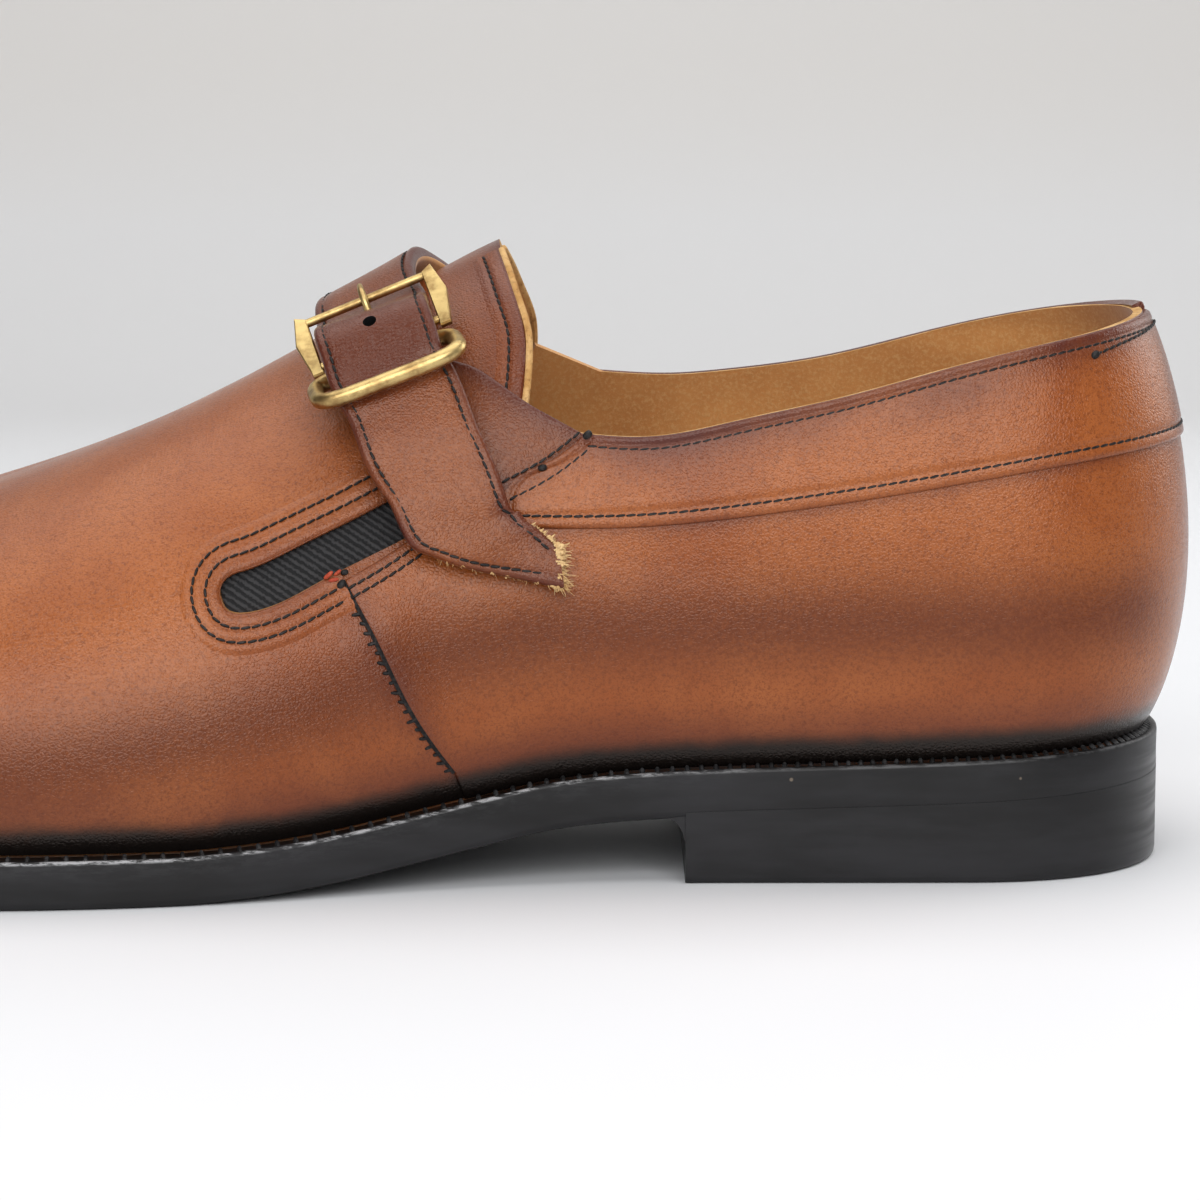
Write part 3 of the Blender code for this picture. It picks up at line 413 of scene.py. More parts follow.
# The middle line of the gusset slot, seen from the side
SLOT = (
    # station, height, width share of SLOT_WIDTH
    (0.505, 0.4700, 0.10),
    (0.5030, 0.4715, 0.62),
    (0.4980, 0.4745, 0.92),
    (0.4920, 0.4775, 1.00),
    (0.460, 0.5170, 1.00),
    (0.420, 0.5750, 1.00),
    (0.385, 0.6320, 1.00),
    (0.355, 0.6950, 1.00),
    (0.335, 0.7600, 1.00),
    (0.322, 0.8400, 1.00),
)
STRAP = (
    # station, turn, side, lift, left and right reach in half widths, skew
    (0.349, 0.320, MEDIAL, 0.0013, 1.16, 1.50, 0.0),
    (0.366, 0.430, MEDIAL, 0.0016, 1.10, 1.32, 0.0),
    (0.384, 0.560, MEDIAL, 0.0024, 1.04, 1.10, 0.0),
    (0.403, 0.700, MEDIAL, 0.0028, 1.00, 0.96, 0.0),
    (0.419, 0.860, MEDIAL, 0.0030, 1.00, 0.90, 0.0),
    (0.427, 0.985, LATERAL, 0.0028, 1.00, 0.88, 0.0),
    (0.429, 0.880, LATERAL, 0.0026, 1.00, 0.90, 0.0),
    (0.426, 0.780, LATERAL, 0.0031, 1.00, 0.96, 0.0),
    (0.423, 0.728, LATERAL, 0.0050, 1.00, 0.99, 0.0),
    (0.421, 0.682, LATERAL, 0.0083, 1.00, 1.00, 0.0),
    (0.418, 0.630, LATERAL, 0.0078, 1.00, 1.00, 0.0),
    (0.4155, 0.590, LATERAL, 0.0071, 1.00, 1.00, 0.0),
    (0.410, 0.550, LATERAL, 0.0063, 0.99, 0.99, 0.0),
    (0.401, 0.467, LATERAL, 0.0048, 0.99, 0.99, -0.23),
    (0.389, 0.388, LATERAL, 0.0038, 0.92, 0.92, -0.32),
    (0.381, 0.344, LATERAL, 0.0031, 0.86, 0.86, -0.43),
    (0.371, 0.318, LATERAL, 0.0026, 0.61, 0.61, -0.57),
    (0.353, 0.288, LATERAL, 0.0019, 0.45, 0.45, -0.36),
    (0.3295, 0.256, LATERAL, 0.0016, 0.33, 0.33, 0.15),
)
# Rows of STRAP at the buckle's two bars and at the ring
AT_OUTER_BAR, AT_CHAPE_BAR, AT_RING = 7, 9, 11
# The buckle tab from its root to the chape bar
CHAPE = (
    # station, turn, side, lift, left and right reach in half widths, skew
    (0.3370, 0.388, LATERAL, -0.0009, 0.94, 0.94, -0.60),
    (0.3600, 0.440, LATERAL, 0.0004, 1.00, 1.00, -0.30),
    (0.3850, 0.520, LATERAL, 0.0009, 1.00, 1.00, 0.0),
    (0.4050, 0.590, LATERAL, 0.0010, 0.82, 0.80, 0.0),
)
# The prong's shank beyond its loop, toward and over the outer bar
PRONG_SHANK = (
    # along in shares of the bars' spacing, rise in shares from loop to over the bar
    (0.30, -0.04),
    (0.50, 0.05),
    (0.66, 0.42),
    (0.80, 0.82),
    (1.00, 1.00),
)
CHAPE_CURL = (-90, -60, -30, 0, 30, 60, 90, 110)
PRONG_LOOP = (-20, -60, -100, -140, -180, -220, -250)
PLATE_OUTLINE = (
    # across in shares of the plate's width, along in shares of its length
    (-0.5, -0.50),
    (0.1, -0.50),
    (0.5, 0.05),
    (0.1, 0.50),
    (-0.5, 0.42),
)

# Levels of a side plate with rounded edges: size and rise, in shares of outline and half thickness
PLATE_LEVELS = ((0.86, -1.0), (0.96, -0.82), (1.0, -0.45), (1.0, 0.45), (0.96, 0.82), (0.86, 1.0))

# Sizes and counts of the visual model, in metres
SHELL_COLUMNS, SHELL_ROWS = 150, 64
SHELL_WALL = 0.0015
SHELL_SINK = 0.0008
QUARTER_LIFT = 0.0003
BAND_LIFT = 0.0010
PANEL_UNDER = -0.0010
PANEL_STEP = 0.0016
RIM = 0.0007
GROOVE_DEPTH, GROOVE_WIDTH = 0.00022, 0.00045
STITCH_INSET = 0.0021
STITCH_PITCH, STITCH_LENGTH, THREAD = 0.00165, 0.00150, 0.00044
STITCH_SLANT = 0.10
# The seam of vamp and quarter: radius of its cord, pitch and radius of the stitches over it
SEAM_CORD, SEAM_PITCH, SEAM_SPIKE = 0.00036, 0.00172, 0.00030
COLLAR_SAMPLES, SLOT_SAMPLES = 160, 90
GORE_DEPTH = 0.0013
# Samples of the slot, of 150, that each side's elastic reaches up
GORE_ENDS = {LATERAL: 112, MEDIAL: 142}
RIB_PITCH, RIB_DEPTH = 0.00150, 0.00016
PRONG_HOLE = 0.0029
NOTCH_HALF = 0.0012
SPARE_HOLE = 0.0022
SPARE_HOLE_BELOW = 0.0013
BUCKLE_EASE = 0.0006
CURL_REACH = (0.76, 0.66, 0.0)
RING_POWER = 4.0
RING_SIDE_ROOM = 0.0008
RING_SHIFT = -0.0004
OUTER_BAR_SHIFT = 0.0024
MM = 1e-3
# Distances from a panel's edge at which its grid has a line, in metres
RIM_STEPS = np.array((0, 0.08, 0.22, 0.45, 0.75, 1.1, 1.5, 1.8, 2.1, 2.4, 2.7, 3.1, 3.7)) * MM

# Lines on the lateral side, in mm: distance from the sole's rear end, height
SEAM_LINE = ((114.0, 15.0), (115.6, 18.6), (121.5, 27.6), (126.8, 38.3), (132.6, 49.2))
QUARTER_TOP = ((132.6, 49.2), (128.2, 51.6), (123.7, 54.4), (117.4, 58.8), (110.5, 62.4),
               (103.0, 61.5), (94.0, 60.2))
BAND_FRONT = ((107.5, 57.1), (108.6, 60.0), (107.9, 63.2), (101.1, 66.8), (94.9, 71.4))
TAB_EDGE = ((105.0, 76.0), (104.6, 79.5), (104.4, 84.0), (104.6, 87.0), (106.4, 92.4),
            (108.1, 96.8), (109.3, 99.4))
BAND_BACK = ((15.0, 83.2), (11.0, 84.6), (5.0, 86.6), (2.6, 87.6))
# How much higher the band's front runs on the medial side, point by point, in mm
MEDIAL_BAND_RISE = (0, 0, 0.5, 3.2, 5.4)

# Swells and dents of the leather, listed one by one: place, reach along and across, slant, rise
RELIEF = (
    # side, from_heel_mm, height_mm, along_mm, across_mm, slant_deg, rise_mm
    (LATERAL, 126, 43, 9, 5, 60, 0.50),
    (LATERAL, 118, 37, 5, 14, 25, -0.45),
    (LATERAL, 110, 46, 13, 7, 20, 0.55),
    (LATERAL, 138, 40, 12, 5, -25, 0.35),
    (LATERAL, 133, 33, 4, 10, 20, -0.30),
    (LATERAL, 141, 71, 12, 3.0, -52, -0.35),
    (LATERAL, 150, 61, 16, 4.0, -35, 0.30),
    (LATERAL, 88, 52, 22, 5, -5, -0.30),
    (LATERAL, 70, 36, 30, 10, 0, 0.30),
    (LATERAL, 100, 64, 5, 3, 35, -0.25),
    (MEDIAL, 126, 44, 9, 5, 60, 0.45),
    (MEDIAL, 116, 36, 5, 13, 25, -0.40),
    (MEDIAL, 138, 41, 12, 5, -25, 0.30),
    (MEDIAL, 145, 66, 14, 4.0, -40, 0.30),
    (MEDIAL, 84, 50, 22, 6, -5, -0.30),
    (MEDIAL, 66, 34, 28, 10, 0, 0.30),
)

OUTSOLE_LOW, OUTSOLE_HIGH = (np.array(corner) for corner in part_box("outsole"))


def smooth_step(low, high, value):
    """0 at low, 1 at high and smooth between them."""
    share = np.clip((np.asarray(value, float) - low) / (high - low), 0, 1)
    return share * share * (3 - 2 * share)


EDGE_COLUMNS = np.linspace(0, 1, 400)
EDGE_Y = np.concatenate([sole_edge(EDGE_COLUMNS, side)[:, 1] for side in (LATERAL, MEDIAL)])
HEEL_END = OUTSOLE_HIGH[0]
MIDDLE_Y = (OUTSOLE_LOW[1] + OUTSOLE_HIGH[1] - EDGE_Y.min() - EDGE_Y.max()) / 2


def to_world(points):
    """Points of the last's frame in the world."""
    points = np.asarray(points, float)
    return np.stack([HEEL_END - points[..., 0], points[..., 1] + MIDDLE_Y, points[..., 2]], -1)


def turned(vectors):
    """Directions from the last's frame into the world."""
    return np.stack([-vectors[..., 0], vectors[..., 1], vectors[..., 2]], -1)


def side_view(points):
    """Distance from the heel's end and height of world points."""
    return np.stack([HEEL_END - points[..., 0], points[..., 2]], -1)


def soft_patch(view, row):
    """1 in the middle of a listed patch of the side view, dying away around it."""
    _, u, z, along, across, slant, _ = row
    du, dz = view[..., 0] - u * MM, view[..., 1] - z * MM
    c, s = math.cos(math.radians(slant)), math.sin(math.radians(slant))
    a, b = (-du * c + dz * s) / (along * MM), (du * s + dz * c) / (across * MM)
    return np.exp(-a * a - b * b)


def relief(point, side):
    """Lift of the listed swells and dents at points of the last."""
    side = np.broadcast_to(side, point.shape[:-1])
    lift = np.zeros(point.shape[:-1])
    for row in RELIEF:
        lift = lift + np.where(side == row[0], row[-1] * MM * soft_patch(point[..., [0, 2]], row), 0)
    return lift


def chords_of(points):
    """Distance along a polyline at each of its points."""
    return np.concatenate([[0], np.cumsum(np.linalg.norm(np.diff(points, axis=0), axis=1))])


def chord_spline(points, samples):
    """Smooth samples through points, spaced by their chords."""
    points = np.asarray(points, float)
    chords = chords_of(points)
    rows = [(chord, *point) for chord, point in zip(chords, points)]
    places = np.linspace(0, chords[-1], samples)
    return np.stack([natural_spline(rows, k + 1)(places) for k in range(points.shape[1])], -1)


def even_line(points, samples):
    """Even samples along a polyline."""
    points = np.asarray(points, float)
    chords = chords_of(points)
    places = np.linspace(0, chords[-1], samples)
    return np.stack([np.interp(places, chords, points[:, k]) for k in range(points.shape[1])], -1)


def distance_to(points, line):
    """Distance from points to a polyline, both on the side view."""
    points, line = np.asarray(points, float), np.asarray(line, float)
    best = np.full(points.shape[:-1], 1e9)
    for start, end in zip(line[:-1], line[1:]):
        span = end - start
        share = np.clip(((points - start) @ span) / max(span @ span, 1e-12), 0, 1)
        gap = np.linalg.norm(points - start - share[..., None] * span, axis=-1)
        best = np.minimum(best, gap)
    return best


def square_to(line):
    """Unit vectors square to a side-view line."""
    along = np.gradient(line, axis=0)
    across = np.stack([along[:, 1], -along[:, 0]], -1)
    return across / np.linalg.norm(across, axis=1, keepdims=True)


def placed(line, side):
    """Columns and turns of side-view points."""
    return place_on_last(line[..., 0] / SOLE_LENGTH, line[..., 1] / INSTEP_HEIGHT, side)


def on_last(line, side, lift=0.0):
    """World points and normals of a side-view line laid on the last, with the relief."""
    return laid(*placed(line, side), side, lift)


def laid(column, turn, side, lift=0.0):
    """World points and normals at a lift off the last and its relief."""
    point = last_point(column, turn, side)
    normal = last_normal(column, turn, side)
    rise = relief(point, side) + lift
    return to_world(point + normal * np.asarray(rise)[..., None]), turned(normal)


def add_piece(name, vertices, faces, materials, slot, replaced=(), indices=None, angle=45,
              weld=1e-6, shell=False):
    """A smooth-shaded piece that rides on the one body."""
    mesh = bpy.data.meshes.new(name)
    mesh.from_pydata([tuple(vertex) for vertex in vertices], [], faces)
    for material in materials:
        mesh.materials.append(material)
    if indices is not None:
        mesh.polygons.foreach_set("material_index", indices)
    form = bmesh.new()
    form.from_mesh(mesh)
    bmesh.ops.remove_doubles(form, verts=form.verts, dist=weld)
    bmesh.ops.dissolve_degenerate(form, edges=form.edges, dist=weld / 10)
    bmesh.ops.recalc_face_normals(form, faces=form.faces)
    heart = Vector((0, 0, 0.03))
    if not shell:
        heart = sum((vertex.co for vertex in form.verts), Vector()) / len(form.verts)
    outwardness = sum(face.normal.dot(face.calc_center_median() - heart) * face.calc_area()
                      for face in form.faces)
    if outwardness < 0:
        bmesh.ops.reverse_faces(form, faces=form.faces)
    form.to_mesh(mesh)
    form.free()
    item = bpy.data.objects.new(name, mesh)
    bpy.context.scene.collection.objects.link(item)
    finish_shading(item, angle)
    if slot:
        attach(item, "root")
    if replaced:
        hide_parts(*replaced)
    return item


def finish_shading(item, angle):
    item.data.shade_smooth()
    item.data.set_sharp_from_angle(angle=math.radians(angle))


def paint(item, **values):
    """Writes one float attribute a vertex for each name."""
    for name, value in values.items():
        attribute = item.data.attributes.new(name, "FLOAT", "POINT")
        attribute.data.foreach_set("value", np.asarray(value, np.float32))


def mesh_points(item):
    points = np.empty(len(item.data.vertices) * 3)
    item.data.vertices.foreach_get("co", points)
    return points.reshape(-1, 3)


def loft(sections, closed=False):
    """Vertices and faces through rings of equal count, with flat ends unless closed."""
    sections = np.asarray(sections)
    count, ring = sections.shape[:2]
    faces = []
    for i in range(count if closed else count - 1):
        for j in range(ring):
            k, m = (j + 1) % ring, (i + 1) % count
            faces.append((i * ring + j, i * ring + k, m * ring + k, m * ring + j))
    if not closed:
        faces.append(tuple(range(ring)))
        faces.append(tuple(reversed(range((count - 1) * ring, count * ring))))
    return sections.reshape(-1, 3), faces


def sheet_solid(top, bottom):
    """A closed solid between two grids of points."""
    rows, columns = top.shape[:2]
    count = rows * columns
    vertices = np.concatenate([top.reshape(-1, 3), bottom.reshape(-1, 3)])
    faces = []
    for i in range(rows - 1):
        for j in range(columns - 1):
            a, b = i * columns + j, (i + 1) * columns + j
            faces.append((a, b, b + 1, a + 1))
            faces.append((count + a, count + a + 1, count + b + 1, count + b))
    edge = list(range(columns))
    edge += [i * columns + columns - 1 for i in range(1, rows)]
    edge += [(rows - 1) * columns + j for j in range(columns - 2, -1, -1)]
    edge += [i * columns for i in range(rows - 2, 0, -1)]
    for a, b in zip(edge, edge[1:] + edge[:1]):
        faces.append((a, b, count + b, count + a))
    return vertices, faces


def tube_rings(path, radius, sides, up=None):
    """Rings along a path; radius may be one value or one a point."""
    path = np.asarray(path, float)
    radius = np.broadcast_to(radius, len(path))
    along = np.gradient(path, axis=0)
    along = along / np.linalg.norm(along, axis=1, keepdims=True)
    normal = np.cross(along[0], (0.3, 0.5, 0.8)) if up is None else np.asarray(up, float)
    rings = []
    for point, direction, size in zip(path, along, radius):
        normal = normal - direction * (normal @ direction)
        normal = normal / np.linalg.norm(normal)
        binormal = np.cross(direction, normal)
        angle = np.arange(sides) * 2 * math.pi / sides
        circle = np.cos(angle)[:, None] * normal + np.sin(angle)[:, None] * binormal
        rings.append(point + size * circle)
    return np.array(rings)


def boolean(item, cutter):
    """Cuts one piece out of another, when the modifiers are applied."""
    modifier = item.modifiers.new(cutter.name, "BOOLEAN")
    modifier.operation = "DIFFERENCE"
    modifier.solver = "EXACT"
    modifier.material_mode = "TRANSFER"
    modifier.object = cutter


def settle(item, cutters=(), angle=45):
    """Applies the modifiers and deletes what they cut with."""
    bpy.context.view_layer.update()
    graph = bpy.context.evaluated_depsgraph_get()
    mesh = bpy.data.meshes.new_from_object(item.evaluated_get(graph))
    item.modifiers.clear()
    item.data = mesh
    for cutter in cutters:
        bpy.data.objects.remove(cutter, do_unlink=True)
    finish_shading(item, angle)


def plain_cutter(name, vertices, faces, material):
    return add_piece(name, vertices, faces, [material], None)


class Paint:
    """A node material with short calls for the nodes that it needs."""

    def __init__(self, name, roughness, metallic=0.0, specular=0.5, coat=0.0, coat_roughness=0.2,
                 sheen=0.0):
        self.material = bpy.data.materials.new(name)
        self.material.use_nodes = True
        self.tree = self.material.node_tree
        self.shader = self.tree.nodes["Principled BSDF"]
        self.set("Roughness", roughness)
        self.set("Metallic", metallic)
        self.set("Specular IOR Level", specular)
        self.set("Coat Weight", coat)
        self.set("Coat Roughness", coat_roughness)
        self.set("Sheen Weight", sheen)
        self.place = self.node("ShaderNodeTexCoord").outputs["Object"]

    def node(self, kind, **settings):
        made = self.tree.nodes.new(kind)
        for key, value in settings.items():
            setattr(made, key, value)
        return made

    def put(self, socket, value):
        """Links a socket or sets a plain value."""
        if isinstance(value, bpy.types.NodeSocket):
            self.tree.links.new(value, socket)
        elif isinstance(value, tuple) and len(value) == 3 and socket.type == "RGBA":
            socket.default_value = (*value, 1.0)
        else:
            socket.default_value = value

    def set(self, name, value):
        self.put(self.shader.inputs[name], value)

    def attribute(self, name):
        return self.node("ShaderNodeAttribute", attribute_name=name).outputs["Fac"]

    def stretched(self, scale, turn=(0, 0, 0)):
        made = self.node("ShaderNodeMapping")
        self.put(made.inputs["Vector"], self.place)
        made.inputs["Scale"].default_value = scale
        made.inputs["Rotation"].default_value = turn
        return made.outputs["Vector"]

    def noise(self, scale, detail=3.0, roughness=0.55, vector=None, distortion=0.0):
        made = self.node("ShaderNodeTexNoise")
        self.put(made.inputs["Vector"], vector or self.place)
        made.inputs["Scale"].default_value = scale
        made.inputs["Detail"].default_value = detail
        made.inputs["Roughness"].default_value = roughness
        made.inputs["Distortion"].default_value = distortion
        return made.outputs["Fac"]

    def cells(self, scale, feature="DISTANCE_TO_EDGE", vector=None):
        made = self.node("ShaderNodeTexVoronoi", feature=feature)
        self.put(made.inputs["Vector"], vector or self.place)
        made.inputs["Scale"].default_value = scale
        return made.outputs["Distance"]

    def ramp(self, value, low, high, start=0.0, end=1.0):
        made = self.node("ShaderNodeMapRange", interpolation_type="SMOOTHSTEP")
        keys = ("Value", "From Min", "From Max", "To Min", "To Max")
        for key, item in zip(keys, (value, low, high, start, end)):
            self.put(made.inputs[key], item)
        return made.outputs["Result"]

    def maths(self, operation, first, second):
        made = self.node("ShaderNodeMath", operation=operation)
        self.put(made.inputs[0], first)
        self.put(made.inputs[1], second)
        return made.outputs["Value"]

    def mix(self, share, first, second):
        made = self.node("ShaderNodeMix", data_type="RGBA")
        for index, item in ((0, share), (6, first), (7, second)):
            self.put(made.inputs[index], item)
        return made.outputs[2]

    def bump(self, height, strength, distance, under=None):
        made = self.node("ShaderNodeBump")
        made.inputs["Strength"].default_value = strength
        made.inputs["Distance"].default_value = distance
        self.put(made.inputs["Height"], height)
        if under is not None:
            self.put(made.inputs["Normal"], under)
        return made.outputs["Normal"]


LIGHT_TAN = (0.375, 0.120, 0.031)
MID_TAN = (0.290, 0.078, 0.016)
DEEP_TAN = (0.135, 0.029, 0.0045)
# Purple-brown of burnish, also used as painted shade on the strap's bulge and under the band's fold
BURNISH_AND_SHADE = (0.092, 0.019, 0.013)
DYE = (0.006, 0.004, 0.0035)
CREAM = (0.66, 0.44, 0.21)
SUEDE = (0.60, 0.315, 0.115)


def leather_paint():
    """Waxed tan calf: mottled dye, fine grain, burnished edges, black shading at the welt, and painted shade
    where the vertex attributes ask for it.
    """
    paint = Paint("leather_tan", 0.40, specular=0.24, coat=0.75, coat_roughness=0.22)
    paint.set("Specular Tint", (1.0, 0.68, 0.48))
    cloud = paint.noise(26, detail=4, roughness=0.6, distortion=0.4)
    speck = paint.noise(1500, detail=3, roughness=0.75)
    pores = paint.noise(3200, detail=1)
    tone = paint.mix(paint.ramp(cloud, 0.36, 0.66), LIGHT_TAN, MID_TAN)
    tone = paint.mix(paint.ramp(speck, 0.46, 0.70, 0.0, 0.50), tone, DEEP_TAN)
    tone = paint.mix(paint.ramp(pores, 0.52, 0.74, 0.0, 0.45), tone, DEEP_TAN)
    # Darkening toward DEEP_TAN from the shade attribute: much of it is painted shade, such as the dark
    # reflection band along the sides
    shade = paint.maths("MULTIPLY", paint.attribute("shade"), paint.ramp(speck, 0.30, 0.60, 0.80, 1.05))
    tone = paint.mix(paint.maths("MINIMUM", shade, 1.0), tone, DEEP_TAN)
    patchy = paint.ramp(cloud, 0.30, 0.62, 0.65, 1.15)
    # Burnish toward the purple-brown tone; on the strap's bulge and under the band's fold this is painted
    # shade
    uneven = paint.maths("MULTIPLY", paint.attribute("burnish"), patchy)
    tone = paint.mix(paint.maths("MINIMUM", uneven, 1.0), tone, BURNISH_AND_SHADE)
    dyed = paint.maths("ADD", paint.attribute("dye"), paint.ramp(paint.noise(140), 0.35, 0.65, -0.06, 0.06))
    tone = paint.mix(paint.ramp(dyed, 0.06, 0.94), tone, DYE)
    paint.set("Base Color", tone)
    paint.set("Roughness", paint.ramp(paint.noise(60, detail=3), 0.3, 0.7, 0.34, 0.47))
    wrinkle = paint.noise(950, detail=3, roughness=0.65, distortion=1.2)
    grain = paint.ramp(paint.cells(1700), 0.0, 0.30)
    fine = paint.bump(grain, 0.30, 0.00012)
    bumped = paint.bump(wrinkle, 0.30, 0.00022, fine)
    paint.set("Normal", bumped)
    paint.set("Coat Normal", bumped)
    return paint.material


def lining_paint():
    """Tan suede-like lining, brushed unevenly, with cream where it is rubbed."""
    paint = Paint("lining_suede", 0.92, specular=0.2, sheen=0.35)
    cloud = paint.noise(30, detail=4, roughness=0.65)
    nap = paint.noise(1500, detail=3, roughness=0.7)
    tone = paint.mix(paint.ramp(cloud, 0.35, 0.68), SUEDE, (0.50, 0.245, 0.085))
    tone = paint.mix(paint.ramp(nap, 0.42, 0.70, 0.0, 0.5), tone, CREAM)
    paint.set("Base Color", tone)
    paint.set("Normal", paint.bump(nap, 0.35, 0.00025))
    return paint.material


def edge_paint(name, first, second):
    """A cut edge with loose fibres."""
    paint = Paint(name, 0.88, specular=0.25)
    fibre = paint.noise(1300, detail=3, roughness=0.7)
    patch = paint.noise(180, detail=3)
    tone = paint.mix(paint.ramp(patch, 0.38, 0.62), first, second)
    tone = paint.mix(paint.ramp(fibre, 0.50, 0.72, 0.0, 0.6), tone, (0.24, 0.11, 0.04))
    paint.set("Base Color", tone)
    paint.set("Normal", paint.bump(fibre, 0.5, 0.0003))
    return paint.material


def thread_paint(name, colour, pale):
    """Waxed thread with the lay of its strands."""
    paint = Paint(name, 0.55, specular=0.4)
    strand = paint.noise(1900, detail=2)
    paint.set("Base Color", paint.mix(paint.ramp(strand, 0.40, 0.70), colour, pale))
    paint.set("Normal", paint.bump(strand, 0.4, 0.0001))
    return paint.material


def elastic_paint():
    """Black elastic: fine weave lines across its ribs."""
    paint = Paint("elastic_weave", 0.72, specular=0.35, sheen=0.15)
    weave = paint.node("ShaderNodeTexWave", wave_type="BANDS", bands_direction="X", wave_profile="SIN")
    paint.put(weave.inputs["Vector"], paint.stretched((1, 1, 1), (0, math.radians(58), 0)))
    weave.inputs["Scale"].default_value = 330
    weave.inputs["Distortion"].default_value = 2.2
    weave.inputs["Detail"].default_value = 2
    weave.inputs["Detail Scale"].default_value = 6
    lines = weave.outputs["Fac"]
    tone = paint.mix(paint.ramp(lines, 0.2, 0.9), (0.008, 0.008, 0.009), (0.045, 0.044, 0.046))
    paint.set("Base Color", tone)
    paint.set("Normal", paint.bump(lines, 0.7, 0.00022))
    return paint.material


def sole_paint():
    """Black burnished sole edge, satin, with a few specks and a worn line on its upper arris."""
    paint = Paint("sole_black_edge", 0.34, specular=0.40)
    film = paint.noise(70, detail=4, roughness=0.6, vector=paint.stretched((0.35, 0.35, 1.6)))
    streak = paint.noise(240, detail=3, vector=paint.stretched((0.15, 0.15, 3.5)))
    tone = paint.mix(paint.ramp(film, 0.35, 0.70), (0.012, 0.0115, 0.012), (0.026, 0.0255, 0.028))
    specks = paint.cells(260, "F1")
    spared = paint.maths("MULTIPLY", paint.ramp(specks, 0.10, 0.05), paint.ramp(paint.noise(55), 0.60, 0.66))
    tone = paint.mix(spared, tone, (0.16, 0.13, 0.10))
    torn = paint.noise(700, detail=5, roughness=0.75, vector=paint.stretched((0.35, 1, 1.6)))
    rubbed = paint.maths("MULTIPLY", paint.attribute("wear"), paint.ramp(torn, 0.44, 0.60))
    tone = paint.mix(rubbed, tone, (0.40, 0.40, 0.41))
    paint.set("Base Color", tone)
    paint.set("Roughness", paint.ramp(streak, 0.3, 0.7, 0.28, 0.42))
    paint.set("Normal", paint.bump(streak, 0.12, 0.0002))
    return paint.material


def tread_paint():
    """The black underside, scuffed a little where it meets the floor."""
    paint = Paint("sole_black_tread", 0.62, specular=0.4)
    scuff = paint.noise(90, detail=5, roughness=0.7)
    tone = paint.mix(paint.ramp(scuff, 0.55, 0.75, 0.0, 0.6), (0.014, 0.014, 0.015), (0.06, 0.058, 0.055))
    paint.set("Base Color", tone)
    paint.set("Normal", paint.bump(paint.noise(700, detail=3), 0.3, 0.0003))
    return paint.material


def brass_paint():
    """Brushed brass, darker and redder where it has tarnished."""
    paint = Paint("brass_brushed", 0.30, metallic=1.0)
    stain = paint.noise(240, detail=4, roughness=0.65)
    brushed = paint.noise(900, detail=3, vector=paint.stretched((0.25, 1.6, 1.6)))
    tone = paint.mix(paint.ramp(stain, 0.42, 0.68), (0.62, 0.47, 0.22), (0.36, 0.24, 0.105))
    paint.set("Base Color", tone)
    paint.set("Roughness", paint.ramp(brushed, 0.3, 0.7, 0.30, 0.48))
    paint.set("Normal", paint.bump(brushed, 0.22, 0.0001))
    return paint.material


def stage_paint(name, low, high, roughness):
    """Cool white floor that turns to a warm grey wall above it."""
    paint = Paint(name, roughness, specular=0.25)
    split = paint.node("ShaderNodeSeparateXYZ")
    paint.put(split.inputs["Vector"], paint.place)
    mottle = paint.ramp(paint.noise(3.0, detail=2), 0.3, 0.7, -0.02, 0.02)
    rise = paint.maths("ADD", paint.ramp(split.outputs["Z"], 0.0, 0.16), mottle)
    behind = paint.ramp(split.outputs["Y"], 0.35, 1.30, 0.0, 0.45)
    paint.set("Base Color", paint.mix(paint.maths("MAXIMUM", rise, behind), low, high))
    return paint.material


LEATHER = leather_paint()
LINING = lining_paint()
RAW_EDGE = edge_paint("leather_raw_edge", CREAM, (0.50, 0.29, 0.11))
SLOT_EDGE = edge_paint("slot_cut_edge", (0.40, 0.20, 0.075), (0.30, 0.13, 0.045))
BLACK_THREAD = thread_paint("thread_black", (0.008, 0.007, 0.007), (0.035, 0.03, 0.028))
RED_THREAD = thread_paint("thread_red", (0.36, 0.05, 0.02), (0.50, 0.11, 0.05))
FIBRE = edge_paint("frayed_fibre", (0.72, 0.52, 0.28), (0.62, 0.42, 0.20))
ELASTIC = elastic_paint()
SOLE = sole_paint()
TREAD = tread_paint()
BRASS = brass_paint()


def collar_outline(samples):
    """The topline and the tab's back: lateral and medial places, in metres."""
    table = np.array(COLLAR) * (SOLE_LENGTH, INSTEP_HEIGHT, SOLE_LENGTH, INSTEP_HEIGHT)
    return chord_spline(table, samples)


def slot_lines(widen=0.0, samples=SLOT_SAMPLES):
    """Upper and lower edge of the gusset slot on the side view, front to back."""
    rows = np.array(SLOT)
    centre = rows[:, :2] * (SOLE_LENGTH, INSTEP_HEIGHT)
    across = square_to(chord_spline(centre, samples))
    line = chord_spline(np.column_stack([centre, rows[:, 2] * SLOT_WIDTH / 2 + widen]), samples)
    return line[:, :2] + across * line[:, 2:], line[:, :2] - across * line[:, 2:]


def slot_loop():
    """The slot's edge on the side view, from the notch round the front end to the notch."""
    upper, lower = slot_lines()
    return np.concatenate([upper[::-1], lower[1:]])


SLOT_LOOP = slot_loop()
SLOT_MIDDLE = chord_spline(np.array(SLOT)[:, :2] * (SOLE_LENGTH, INSTEP_HEIGHT), 60)
COLLAR_LINE = collar_outline(COLLAR_SAMPLES)
TOPLINES = {LATERAL: COLLAR_LINE[:, :2], MEDIAL: COLLAR_LINE[:, 2:]}
NOTCH = int(np.argmax(COLLAR_LINE[:, 0] > 101.5 * MM))
SEAM = np.array(SEAM_LINE) * MM
BAND_EDGE = np.array([(u * MM, INSTEP_HEIGHT * float(band_height(u * MM / SOLE_LENGTH)))
                      for u in np.linspace(0, 108, 40)])


